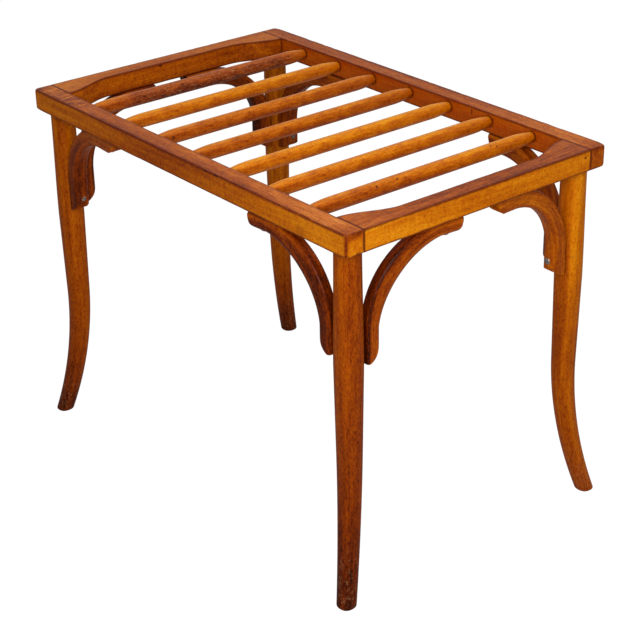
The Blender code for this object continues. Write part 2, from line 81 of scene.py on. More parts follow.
OUTER_ROUND = 0.004
INNER_ROUND = 0.0065
END_EASE = 0.0012
SCREW_HEAD_RADIUS = 0.0048
SCREW_HEAD_HEIGHT = 0.0028
SCREW_SETBACK = 0.021
SCREW_SINK = 0.0008
SLOT_WIDTH = 0.0010
SLOT_DEPTH = 0.0013

# Wear of the rails' arrises: how far their radius wanders and over what waves, the waves of the chips
# and where they start, the sharpest radius, and the sharp one of the joints
ARRIS_WANDER = 0.35
ARRIS_WAVE = 0.020
CHIP_WAVE = 0.012
CHIP_START = 0.15
SHARPEST = 0.3 * MM
JOINT_ARRIS = 0.35 * MM
# The outer arrises get rounder by this much towards the frame's corners, over this length
CORNER_WEAR = 0.0026
CORNER_WEAR_REACH = 0.010

# Points along a flat and round an arris of a rail's section, the spacing of the sections, and the
# shares to which an end cap's inner rings shrink
FLAT_STEPS = 12
ARC_STEPS = 4
STATION = 2.5 * MM
CAP_SHARES = (0.04, 0.2, 0.4, 0.6, 0.78, 0.92)

# Places that follow from the sizes
RAIL_BOTTOM = RACK_HEIGHT - RAIL_HEIGHT
HALF_LENGTH = FRAME_LENGTH / 2
HALF_DEPTH = FRAME_DEPTH / 2
INNER_DEPTH = HALF_DEPTH - SIDE_RAIL_WIDTH
LEG_X = HALF_LENGTH - LEG_INSET_X
LEG_Y = HALF_DEPTH - LEG_INSET_Y
BAR_HEIGHT = RACK_HEIGHT - BAR_DROP
BAR_PITCH = (FRAME_LENGTH - 2 * END_RAIL_WAIST + 2 * END_GAP_TRIM) / (BAR_COUNT + 1)
FIRST_BAR = -HALF_LENGTH + END_RAIL_WAIST + BAR_PITCH - END_GAP_TRIM

CORNERS = {
    "front_right": (1, -1),
    "front_left": (-1, -1),
    "rear_right": (1, 1),
    "rear_left": (-1, 1),
}

# How far each foot stands out from the top of its leg
FLARES = {
    "front_right": (0.0198, 0.0238),
    "front_left": (0.0250, 0.0268),
    "rear_right": (0.0268, 0.0268),
    "rear_left": (0.0085, 0.0200),
}

# Each corner's pair of braces: width, thickness of the arms and of the bend, outward lean, how far it
# is set out from the leg's axis, bend radius, rail arm, and the runs over which the inner side curves
# away at its ends under the rail and on the leg
BRACES = {
    "front_right": (0.0165, 0.0185, 0.0255, 0.010, 0.008, 0.107, 0.0315, 0.010, 0.036),
    "front_left": (0.0213, 0.0225, 0.0222, 0.008, 0.0, 0.094, 0.043, 0.027, 0.027),
    "rear_right": (0.0213, 0.0240, 0.0222, 0.008, 0.0, 0.107, 0.026, 0.018, 0.018),
    "rear_left": (0.0213, 0.0240, 0.0222, 0.008, 0.0, 0.102, 0.042, 0.018, 0.018),
}
# The front right pair was bent less alike: its side brace turns tighter and its end brace drops lower
TIGHT_BEND = 0.104
LONG_DROP = 0.152

# The photograph's camera: its place, its turns in radians, and its lens and sensor in millimetres
CAMERA_PLACE = (1.5994, -1.2728, 1.2367)
CAMERA_AZIMUTH = 0.8916
CAMERA_ELEVATION = 0.4689
CAMERA_ROLL = -0.0183
CAMERA_LENS = 93.37
CAMERA_SENSOR = 36.0

# Each lamp's name, place, width and power, and the point that they face
LAMPS = (("key", (1.35, -0.95, 1.2), 0.9, 26), ("top", (0.2, 0.3, 2.4), 1.6, 17))
LAMP_AIM = (0, 0, 0.3)
# How strongly the white room lights matt surfaces, against 1 where it is seen or mirrored
ROOM_LIGHT = 0.27
# The floor: half its width, its grey, how it glows, and the glow's share in what the camera sees
FLOOR_REACH = 6.0
FLOOR_GREY = (0.6, 0.6, 0.6, 1)
FLOOR_GLOW = 1.26
FLOOR_GLOW_SHARE = 0.75

# The bend, in radians a metre, that counts as a full arris, and how much of it the next points get
SHARP_BEND = 500.0
EDGE_SPREAD = 0.75
# How far from another piece the dirt and painted shade of a contact reach
GRIME_AND_SHADE_REACH = 5 * MM

# The stain from its darkest to its palest, under sound varnish and where it has worn to pinkish wood, a pink
# that on upward faces also paints a sheen
AMBER_STAINS = ("#2C0C00", "#5A1C00", "#883600", "#A85000", "#C66C00", "#E49412")
ROSE_STAINS = ("#2A0E04", "#561D06", "#85390C", "#A65016", "#C06822", "#DE9046")
STAIN_STOPS = (0.0, 0.2, 0.4, 0.58, 0.75, 1.0)
RED_STAIN = "#A23406"
FLECK_STAIN = "#4A1602"
SCRATCH_STAIN = "#A87C54"
EDGE_STAIN = "#561A08"
# The grime stain also serves as painted shade where pieces meet
GRIME_AND_SHADE_STAIN = "#480F04"
KNOT_STAIN = "#2A0D06"
CRACK_STAIN = "#6E2A06"

# The wood's patterns: length along the grain, width across it, and the noise's detail, roughness and
# distortion. Beech's own flecks are about 3 mm by 0.3 mm and its pores finer still, too fine to show
# at this distance, so both are drawn as coarse as they need to be to show.
BANDS = (160 * MM, 8 * MM, 3.0, 0.55, 0.0)
MOTTLE = (18 * MM, 7 * MM, 4.0, 0.65, 0.4)
STREAKS = (30 * MM, 2 * MM, 4.0, 0.7, 0.0)
FLECKS = (5 * MM, 1.6 * MM, 3.0, 0.65, 0.0)
PORES = (22 * MM, 1.3 * MM, 3.0, 0.65, 0.0)
SAW_MARKS = (3.6 * MM, 30 * MM, 2.0, 0.5, 0.3)
FIGURE = (3.5 * MM, 12 * MM, 3.0, 0.6, 0.8)
SCRATCHES = (4.5 * MM, 2.8 * MM, 2.0, 0.55, 0.0)
# Specks on the steel to a metre, about one every 1.1 mm
STEEL_SPECKS = 900.0

# Tones run from 0, the darkest stain, to 1, the palest. Each leg has its own from foot to top.
LEG_TONES = {
    "front_right": (0.08, 0.28, 0.35, 0.40, 0.44),
    "front_left": (0.14, 0.40, 0.46, 0.50, 0.56),
    "rear_right": (0.46, 0.51, 0.54, 0.68, 0.76),
    "rear_left": (0.16, 0.50, 0.60, 0.66, 0.60),
}
# How much lighter each leg's right side is painted, as painted light, and how much darker its front, as
# painted shade
LEG_PAINTED_LIGHT_AND_SHADE = {
    "front_right": (0.02, -0.07),
    "front_left": (0.05, -0.03),
    "rear_right": (0.04, 0.12),
    "rear_left": (0.0, 0.0),
}
# Each brace from its lower end to its upper one
BRACE_TONES = {
    "front_right_side": (0.30, 0.14, 0.10, 0.32), "front_right_end": (0.42, 0.42, 0.42, 0.48),
    "front_left_side": (0.30, 0.31, 0.36, 0.50), "front_left_end": (0.24, 0.30, 0.34, 0.34),
    "rear_right_side": (0.34, 0.34, 0.40, 0.42), "rear_right_end": (0.52, 0.52, 0.54, 0.54),
    "rear_left_side": (0.36, 0.36, 0.40, 0.40), "rear_left_end": (0.36, 0.36, 0.40, 0.40),
}
# Each bar's tone and how far it has worn to pinkish wood
BAR_TONES = ((0.37, 0.75), (0.68, 0.1), (0.56, 0.25), (0.57, 0.15), (0.70, 0.0), (0.64, 0.1), (0.55, 0.2))
# How much darker the end braces' front-facing sides are painted, as painted shade
PAINTED_SHADE_ON_FRONT_SIDES = 0.34
# How rusty the rear legs' screws are at the left, and how much browner those at the right are, part rust and
# part painted shade
RUST_LEFT = 0.85
RUST_AND_SHADE_RIGHT = 0.4

# Knots, chips and a crack: place, radii, strength and stain
RAIL_MARKS = (
    ((0.3300, 0.1741, 0.4912), (0.0022, 0.0028, 0.0018), 0.9, KNOT_STAIN),
    ((-0.3045, -0.0188, 0.4965), (0.0030, 0.0035, 0.0022), 0.85, KNOT_STAIN),
    ((0.1211, 0.1830, 0.4930), (0.0014, 0.0030, 0.0060), 0.9, KNOT_STAIN),
    ((0.2499, -0.2100, 0.4784), (0.0110, 0.0040, 0.0090), 0.35, CRACK_STAIN),
    ((0.0692, -0.2100, 0.4985), (0.0050, 0.0030, 0.0016), 0.8, KNOT_STAIN),
    ((0.0892, -0.2100, 0.4985), (0.0060, 0.0030, 0.0018), 0.8, KNOT_STAIN),
)
BAR_MARKS = (
    ((0.2367, -0.0835, 0.4950), (0.0020, 0.0024, 0.0020), 0.95, KNOT_STAIN),
    ((0.2359, -0.0509, 0.4957), (0.0016, 0.0024, 0.0016), 0.9, KNOT_STAIN),
    ((0.2339, 0.1059, 0.4971), (0.0020, 0.0014, 0.0040), 0.85, KNOT_STAIN),
    ((0.2366, 0.1142, 0.4951), (0.0020, 0.0014, 0.0040), 0.85, KNOT_STAIN),
    ((-0.0674, -0.1614, 0.4907), (0.0022, 0.0030, 0.0022), 0.8, KNOT_STAIN),
)


class Brace:
    """The sizes and the place of one brace.

    Its own frame has the corner of its two outer faces at the origin: the arm
    along -X lies under the rail and the arm along -Z against the leg. The hand
    is the side, along its own Y, on which the rail's outer face lies.
    """

    def __init__(self, corner, kind):
        side_x, side_y = CORNERS[corner]
        self.name = f"{corner}_{kind}"
        (self.width, self.arm_thickness, self.bend_thickness, self.lean, self.set_out, self.bend,
         self.rail_arm, self.rail_run, self.leg_run) = BRACES[corner]
        if self.name == "front_right_side":
            self.bend = TIGHT_BEND
        self.drop = LONG_DROP if self.name == "front_right_end" else BRACE_DROP
        self.reach = self.bend + self.rail_arm
        self.rail_seat = self.screw_seat(self.rail_run)
        self.leg_seat = self.screw_seat(self.leg_run)
        if kind == "side":
            self.hand = side_x * side_y
            place = (side_x * (LEG_X - BRACE_SEAT), side_y * LEG_Y, RAIL_BOTTOM)
            turn = 0.0 if side_x > 0 else math.pi
        else:
            self.hand = -side_x * side_y
            place = (side_x * LEG_X, side_y * (LEG_Y - BRACE_SEAT), RAIL_BOTTOM)
            turn = side_y * math.pi / 2
        self.matrix = Matrix.Translation(place) @ Matrix.Rotation(turn, 4, "Z")

    def screw_seat(self, run):
        """How deep a screw's head sits, sunk where an end curves away over a run."""
        back = min((SCREW_SETBACK - SCREW_HEAD_RADIUS) / run, 1.0)
        return self.arm_thickness * math.sqrt(1 - (1 - back) ** 2) - SCREW_SINK

    def shift(self, reach):
        """How far the brace lies from the leg's axis, along its own Y."""
        return self.hand * (self.set_out + self.lean * max(reach, 0.0) / self.reach)


def linear(hexadecimal):
    """Turn an sRGB hex colour into linear red, green, blue and alpha."""
    channels = [int(hexadecimal[i:i + 2], 16) / 255 for i in (1, 3, 5)]
    return [c / 12.92 if c <= 0.04045 else ((c + 0.055) / 1.055) ** 2.4 for c in channels] + [1.0]


def blend(value, low, high):
    """Go smoothly from 0 at low to 1 at high, whichever of the two is greater."""
    share = min(max((value - low) / (high - low), 0.0), 1.0)
    return share * share * (3 - 2 * share)


def between(share, *values):
    """Step through evenly spaced values as a share goes from 0 to 1."""
    share = min(max(share, 0.0), 1.0) * (len(values) - 1)
    i = min(int(share), len(values) - 2)
    return values[i] + (values[i + 1] - values[i]) * (share - i)


def add(tree, kind, inputs=None, stops=(), **settings):
    """Add a node with its settings and colour stops, and set its inputs, or link them to a socket or to
    a node's first output."""
    node = tree.nodes.new(kind)
    for name, value in settings.items():
        setattr(node, name, value)
    for _ in stops[2:]:
        node.color_ramp.elements.new(0.5)
    for number, (position, colour) in enumerate(stops):
        node.color_ramp.elements[number].position = position
        node.color_ramp.elements[number].color = linear(colour)
    for key, value in (inputs or {}).items():
        if isinstance(value, bpy.types.Node):
            value = value.outputs[0]
        if isinstance(value, bpy.types.NodeSocket):
            tree.links.new(value, node.inputs[key])
        else:
            node.inputs[key].default_value = value
    return node


def new_material(name):
    """Start a material, and return it with its empty tree."""
    material = bpy.data.materials.new(name)
    material.use_nodes = True
    material.node_tree.nodes.clear()
    return material, material.node_tree


# Camera and light.

def place_camera():
    """Stand the camera where the photograph was taken from."""
    level = math.cos(CAMERA_ELEVATION)
    ahead = Vector((-math.sin(CAMERA_AZIMUTH) * level, math.cos(CAMERA_AZIMUTH) * level,
                    -math.sin(CAMERA_ELEVATION)))
    right = ahead.cross(Vector((0, 0, 1))).normalized()
    up = right.cross(ahead)
    turned_right = math.cos(CAMERA_ROLL) * right + math.sin(CAMERA_ROLL) * up
    turned_up = math.cos(CAMERA_ROLL) * up - math.sin(CAMERA_ROLL) * right
    data = bpy.data.cameras.new("camera")
    data.sensor_width = CAMERA_SENSOR
    data.lens = CAMERA_LENS
    camera = bpy.data.objects.new("camera", data)
    bpy.context.scene.collection.objects.link(camera)
    basis = Matrix((turned_right, turned_up, -ahead)).transposed().to_4x4()
    camera.matrix_world = Matrix.Translation(CAMERA_PLACE) @ basis
    bpy.context.scene.camera = camera


def light_studio():
    """Plain soft light: a white room, a broad lamp from the front right and a broader one above."""
    scene = bpy.context.scene
    scene.view_settings.view_transform = "Standard"
    world = bpy.data.worlds.new("studio")
    scene.world = world
    world.use_nodes = True
    tree = world.node_tree
    tree.nodes.clear()
    path = add(tree, "ShaderNodeLightPath")
    seen = add(tree, "ShaderNodeMath", {0: path.outputs["Is Camera Ray"], 1: path.outputs["Is Glossy Ray"]},
               operation="MAXIMUM")
    strength = add(tree, "ShaderNodeMapRange", {"Value": seen, "To Min": ROOM_LIGHT, "To Max": 1.0})
    back = add(tree, "ShaderNodeBackground", {"Color": (1, 1, 1, 1), "Strength": strength})
    add(tree, "ShaderNodeOutputWorld", {"Surface": back})

    for name, place, size, power in LAMPS:
        data = bpy.data.lights.new(name, "AREA")
        data.size = size
        data.energy = power
        lamp = bpy.data.objects.new(name, data)
        scene.collection.objects.link(lamp)
        aim = Vector(LAMP_AIM) - Vector(place)
        lamp.matrix_world = Matrix.Translation(place) @ aim.to_track_quat("-Z", "Y").to_matrix().to_4x4()


def lay_floor():
    """A white floor that keeps a faint shadow of the rack."""
    mesh = bpy.data.meshes.new("floor")
    corners = [(x * FLOOR_REACH, y * FLOOR_REACH, 0) for x, y in ((-1, -1), (1, -1), (1, 1), (-1, 1))]
    mesh.from_pydata(corners, [], [(0, 1, 2, 3)])
    floor = bpy.data.objects.new("floor", mesh)
    bpy.context.scene.collection.objects.link(floor)
    material, tree = new_material("white_paint")
    path = add(tree, "ShaderNodeLightPath")
    matt = add(tree, "ShaderNodeBsdfDiffuse", {"Color": FLOOR_GREY})
    glow = add(tree, "ShaderNodeEmission", {"Color": (1, 1, 1, 1), "Strength": FLOOR_GLOW})
    share = add(tree, "ShaderNodeMath", {0: path.outputs["Is Camera Ray"], 1: FLOOR_GLOW_SHARE},
                operation="MULTIPLY")
    mixed = add(tree, "ShaderNodeMixShader", {0: share, 1: matt, 2: glow})
    add(tree, "ShaderNodeOutputMaterial", {"Surface": mixed})
    mesh.materials.append(material)


# Meshes.

def grown(name, tree, sizes, base=None):
    """Grow an object from a geometry tree and its named sizes, and keep the result as a plain mesh."""
    obj = bpy.data.objects.new(name, base or bpy.data.meshes.new(name))
    bpy.context.scene.collection.objects.link(obj)
    modifier = obj.modifiers.new("shape", "NODES")
    modifier.node_group = tree
    for socket in tree.interface.items_tree:
        if socket.name in sizes:
            modifier[socket.identifier] = sizes[socket.name]
    bpy.context.view_layer.update()
    result = bpy.data.meshes.new_from_object(obj.evaluated_get(bpy.context.evaluated_depsgraph_get()))
    obj.modifiers.clear()
    obj.data = result
    return obj


def new_tree(name, inputs):
    """Start a geometry tree with a geometry output and named inputs, and return it with its inputs."""
    tree = bpy.data.node_groups.new(name, "GeometryNodeTree")
    tree.interface.new_socket("Geometry", in_out="INPUT", socket_type="NodeSocketGeometry")
    tree.interface.new_socket("Geometry", in_out="OUTPUT", socket_type="NodeSocketGeometry")
    for label, kind in inputs.items():
        tree.interface.new_socket(label, in_out="INPUT", socket_type="NodeSocket" + kind)
    return tree, add(tree, "NodeGroupInput").outputs


def store(mesh, name, values):
    """Keep one number or vector for each vertex under a name that the materials read."""
    vectors = hasattr(values[0], "__len__")
    kind, field = ("FLOAT_VECTOR", "vector") if vectors else ("FLOAT", "value")
    attribute = mesh.attributes.get(name) or mesh.attributes.new(name, kind, "POINT")
    attribute.data.foreach_set(field, [c for v in values for c in v] if vectors else list(values))


def finish_piece(obj, material, slot, *nodes):
    """Give a piece its material, smooth shading and its place on the rack."""
    obj.data.materials.clear()
    obj.data.materials.append(material)
    obj.data.shade_smooth()
    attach(obj, "root")
    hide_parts(*nodes)
    return obj


# Rails.

def rounding(distance, radius):
    """How far a face has fallen back at a distance from a rounded edge."""
    if distance >= radius:
        return 0.0
    return radius - math.sqrt(max(radius * radius - (radius - distance) ** 2, 0.0))


def rail_section(low_a, high_a, low_b, high_b, radii):
    """Rounded section of a rail, from its outer bottom edge round to the start."""
    corners = ((low_a, low_b, 1, 1, 270), (low_a, high_b, 1, -1, 180), (high_a, high_b, -1, -1, 90),
               (high_a, low_b, -1, 1, 0))
    arcs = []
    for (a, b, step_a, step_b, start), r in zip(corners, radii):
        angles = [math.radians(start - 90 * k / ARC_STEPS) for k in range(ARC_STEPS + 1)]
        arcs.append([(a + step_a * r + r * math.cos(angle), b + step_b * r + r * math.sin(angle))
                     for angle in angles])
    points = []
    for arc, following in zip(arcs, arcs[1:] + arcs[:1]):
        (a1, b1), (a2, b2) = arc[-1], following[0]
        points += arc
        for k in range(1, FLAT_STEPS):
            share = 0.5 - 0.5 * math.cos(math.pi * k / FLAT_STEPS)
            points.append((a1 + (a2 - a1) * share, b1 + (b2 - b1) * share))
    return points


def spread(low, high, step, near):
    """Stations from low to high, close together at both ends."""
    ends = [0.0, 0.08, 0.2, 0.38, 0.6, 0.8, 1.0]
    first = [low + near * e for e in ends]
    count = max(2, round((high - low - 2 * near) / step))
    middle = [low + near + (high - low - 2 * near) * i / count for i in range(1, count)]
    last = [high - near * e for e in reversed(ends)]
    return first + middle + last


def wander(point, scale, seed):
    """Smooth noise between about -1 and 1 at a point, with waves of a given length."""
    return noise.noise(Vector(point) / scale + Vector((seed * 13.7, seed * 5.1, seed * 9.3)))


def shrunk(ring, share):
    """Draw a section in towards its middle, so that a cap has points across it."""
    middle = [sum(point[axis] for point in ring) / len(ring) for axis in (0, 1)]
    return [(middle[0] + (a - middle[0]) * share, middle[1] + (b - middle[1]) * share) for a, b in ring]


def skin(name, rings, places, seed):
    """Skin rings of section points, with capped ends, and store the run of the grain."""
    bm = bmesh.new()
    loops, grain = [], []
    inner_first = [(rings[0][0], shrunk(rings[0][1], share)) for share in CAP_SHARES]
    inner_last = [(rings[-1][0], shrunk(rings[-1][1], share)) for share in reversed(CAP_SHARES)]
    rings = inner_first + rings + inner_last
    places = [places[0]] * len(CAP_SHARES) + places + [places[-1]] * len(CAP_SHARES)
    for (s, ring), place in zip(rings, places):
        loop = []
        for a, b in ring:
            loop.append(bm.verts.new(place(a, b)))
            grain.append((s + seed, a, b))
        loops.append(loop)
    count = len(loops[0])
    for lower, upper in zip(loops, loops[1:]):
        for i in range(count):
            j = (i + 1) % count
            bm.faces.new((lower[i], lower[j], upper[j], upper[i]))
    bm.faces.new(loops[0])
    bm.faces.new(loops[-1])
    bmesh.ops.recalc_face_normals(bm, faces=bm.faces)
    mesh = bpy.data.meshes.new(name)
    bm.to_mesh(mesh)
    bm.free()
    store(mesh, "grain", grain)
    obj = bpy.data.objects.new(name, mesh)
    bpy.context.scene.collection.objects.link(obj)
    return obj


def edge_radius(s, seed, chipped):
    """Radius of a worn arris along a rail, with chips where asked."""
    base = ARRIS * (1.0 + ARRIS_WANDER * wander((s, 0, 0), ARRIS_WAVE, seed))
    chip = max(0.0, wander((s, 3, 0), CHIP_WAVE, seed) - CHIP_START) * chipped
    return max(SHARPEST, base + chip)


def side_rail(name, side, seed):
    """Full-length side rail with rounded outer corners and worn arrises."""
    rings, places = [], []
    for s in spread(-HALF_LENGTH, HALF_LENGTH, STATION, CORNER_ROUND):
        t = HALF_LENGTH - abs(s)
        outer, rim = rounding(t, CORNER_ROUND), rounding(t, ARRIS)
        joint = JOINT_ARRIS if t < END_RAIL_WIDTH else edge_radius(s, seed + 3, 0)
        worn = CORNER_WEAR * max(0.0, 1 - t / CORNER_WEAR_REACH)
        radii = [edge_radius(s, seed, 0) + worn, edge_radius(s, seed + 1, 2.2 * MM) + worn, joint,
                 edge_radius(s, seed + 4, 0)]
        ring = rail_section(outer, SIDE_RAIL_WIDTH - rim, rim, RAIL_HEIGHT - rim, radii)
        rings.append((s, ring))
        places.append(lambda a, b, s=s: (s, side * (HALF_DEPTH - a), RAIL_BOTTOM + b))
    return skin(name, rings, places, seed)


def end_rail_width(s):
    """Width of an end rail at a place along it: wide at both ends, slim between."""
    scooped = blend(INNER_DEPTH - abs(s), 0.0, SCOOP_RUN)
    return END_RAIL_WIDTH + (END_RAIL_WAIST - END_RAIL_WIDTH) * scooped


def end_rail(name, side, seed):
    """End rail, scooped along its inner side, butted between the side rails."""
    rings, places = [], []
    half = INNER_DEPTH - 0.1 * MM
    for s in spread(-half, half, STATION, 1.0 * MM):
        rim = 0.25 * MM if half - abs(s) < 0.15 * MM else 0.0
        radii = [edge_radius(s, seed + i, chips * MM) for i, chips in ((0, 0), (1, 1.2), (2, 0.6), (4, 0))]
        ring = rail_section(rim, end_rail_width(s) - rim, rim, RAIL_HEIGHT - rim, radii)
        rings.append((s, ring))
        places.append(lambda a, b, s=s: (side * (HALF_LENGTH - a), s, RAIL_BOTTOM + b))
    return skin(name, rings, places, seed)


# Legs.

def leg_tree():
    """A sabre leg: a rounded-square column that swells to a belly and sweeps out below the knee."""
    names = ("Height", "Knee Height", "Flare X", "Flare Y", "Foot Radius", "Belly Radius", "Belly Height",
             "Top Radius", "Squareness", "Grain Start")
    tree, size = new_tree("sabre leg", {**{n: "Float" for n in names}, "Sides": "Int", "Rings": "Int",
                                        "Wood": "Material"})
    column = add(tree, "GeometryNodeMeshCylinder", {"Vertices": size["Sides"], "Side Segments": size["Rings"],
                                                    "Radius": 1.0, "Depth": 1.0})
    place = add(tree, "ShaderNodeSeparateXYZ", {0: add(tree, "GeometryNodeInputPosition")}).outputs
    share = add(tree, "ShaderNodeMath", {0: place["Z"], 1: 0.5}, operation="ADD")
    height = add(tree, "ShaderNodeMath", {0: share, 1: size["Height"]}, operation="MULTIPLY")
    powers = []
    for axis in "XY":
        absolute = add(tree, "ShaderNodeMath", {0: place[axis]}, operation="ABSOLUTE")
        powers.append(add(tree, "ShaderNodeMath", {0: absolute, 1: size["Squareness"]},
                          operation="POWER"))
    total = add(tree, "ShaderNodeMath", {0: powers[0], 1: powers[1]}, operation="ADD")
    root = add(tree, "ShaderNodeMath", {0: -1.0, 1: size["Squareness"]}, operation="DIVIDE")
    square = add(tree, "ShaderNodeMath", {0: total, 1: root}, operation="POWER")
    swell = add(tree, "ShaderNodeMapRange", {"Value": height, "From Max": size["Belly Height"],
                                             "To Min": size["Foot Radius"], "To Max": size["Belly Radius"]})
    slim = add(tree, "ShaderNodeMath", {0: size["Top Radius"], 1: size["Belly Radius"]}, operation="SUBTRACT")
    drawn = add(tree, "ShaderNodeMapRange", {"Value": height, "From Min": size["Belly Height"],
                                             "From Max": size["Height"], "To Min": 0.0, "To Max": slim},
                interpolation_type="SMOOTHSTEP")
    radius = add(tree, "ShaderNodeMath", {0: swell, 1: drawn}, operation="ADD")
    scale = add(tree, "ShaderNodeMath", {0: radius, 1: square}, operation="MULTIPLY")
    below = add(tree, "ShaderNodeMapRange", {"Value": height, "From Min": size["Knee Height"],
                                             "From Max": 0.0})
    sweep = add(tree, "ShaderNodeMath", {0: below, 1: 2.0}, operation="POWER")
    round_part, moved = {}, {}
    for axis in "XY":
        part = add(tree, "ShaderNodeMath", {0: place[axis], 1: scale}, operation="MULTIPLY")
        moved[axis] = add(tree, "ShaderNodeMath", {0: sweep, 1: size["Flare " + axis], 2: part},
                          operation="MULTIPLY_ADD")
        round_part[axis] = part
    along = add(tree, "ShaderNodeMath", {0: height, 1: size["Grain Start"]}, operation="ADD")
    run = add(tree, "ShaderNodeCombineXYZ", {"X": along, "Y": round_part["X"], "Z": round_part["Y"]})
    named = add(tree, "GeometryNodeStoreNamedAttribute", {"Geometry": column, "Name": "grain",
                                                          "Value": run}, data_type="FLOAT_VECTOR")
    target = add(tree, "ShaderNodeCombineXYZ", {"X": moved["X"], "Y": moved["Y"], "Z": height})
    shaped = add(tree, "GeometryNodeSetPosition", {"Geometry": named, "Position": target})
    painted = add(tree, "GeometryNodeSetMaterial", {"Geometry": shaped, "Material": size["Wood"]})
    real = add(tree, "GeometryNodeRealizeInstances", {"Geometry": painted})
    add(tree, "NodeGroupOutput", {0: real})
    return tree


def soften_rim(mesh, height, width):
    """Round the rim of a flat end at a height."""
    bm = bmesh.new()
    bm.from_mesh(mesh)
    rim = [e for e in bm.edges if all(abs(v.co.z - height) < 1e-6 for v in e.verts)
           and any(len(f.verts) > 4 for f in e.link_faces)]
    bmesh.ops.bevel(bm, geom=rim, offset=width, segments=4, profile=0.5, affect="EDGES", clamp_overlap=True)
    bm.to_mesh(mesh)
    bm.free()


# Bars.

def bar_tree():
    """Turned bars in a row, each thinned towards both ends."""
    names = ("Length", "Radius", "End Radius", "Taper", "First", "Pitch", "Height")
    tree, size = new_tree("turned bars", {**{n: "Float" for n in names}, "Count": "Int", "Sides": "Int",
                                          "Rings": "Int", "Wood": "Material"})
    rod = add(tree, "GeometryNodeMeshCylinder", {"Vertices": size["Sides"], "Side Segments": size["Rings"],
                                                 "Radius": 1.0, "Depth": size["Length"]})
    place = add(tree, "ShaderNodeSeparateXYZ", {0: add(tree, "GeometryNodeInputPosition")}).outputs
    absolute = add(tree, "ShaderNodeMath", {0: place["Z"]}, operation="ABSOLUTE")
    half = add(tree, "ShaderNodeMath", {0: size["Length"], 1: 0.5}, operation="MULTIPLY")
    left = add(tree, "ShaderNodeMath", {0: half, 1: absolute}, operation="SUBTRACT")
    share = add(tree, "ShaderNodeMapRange", {"Value": left, "From Max": size["Taper"],
                                             "To Max": math.pi / 2})
    rise = add(tree, "ShaderNodeMath", {0: share}, operation="SINE")
    radius = add(tree, "ShaderNodeMapRange", {"Value": rise, "To Min": size["End Radius"],
                                              "To Max": size["Radius"]})
    across = [add(tree, "ShaderNodeMath", {0: place[axis], 1: radius}, operation="MULTIPLY")
              for axis in "XY"]
    run = add(tree, "ShaderNodeCombineXYZ", {"X": place["Z"], "Y": across[0], "Z": across[1]})
    named = add(tree, "GeometryNodeStoreNamedAttribute", {"Geometry": rod, "Name": "grain",
                                                          "Value": run}, data_type="FLOAT_VECTOR")
    laid = add(tree, "ShaderNodeCombineXYZ", {"X": across[0], "Y": place["Z"], "Z": across[1]})
    bar = add(tree, "GeometryNodeSetPosition", {"Geometry": named, "Position": laid})
    start = add(tree, "ShaderNodeCombineXYZ", {"X": size["First"], "Z": size["Height"]})
    step = add(tree, "ShaderNodeCombineXYZ", {"X": size["Pitch"]})
    row = add(tree, "GeometryNodeMeshLine", {"Count": size["Count"], "Start Location": start,
                                             "Offset": step})
    copies = add(tree, "GeometryNodeInstanceOnPoints", {"Points": row, "Instance": bar})
    real = add(tree, "GeometryNodeRealizeInstances", {"Geometry": copies})
    flipped = add(tree, "GeometryNodeFlipFaces", {0: real})
    painted = add(tree, "GeometryNodeSetMaterial", {"Geometry": flipped, "Material": size["Wood"]})
    add(tree, "NodeGroupOutput", {0: painted})
    return tree


# Braces.

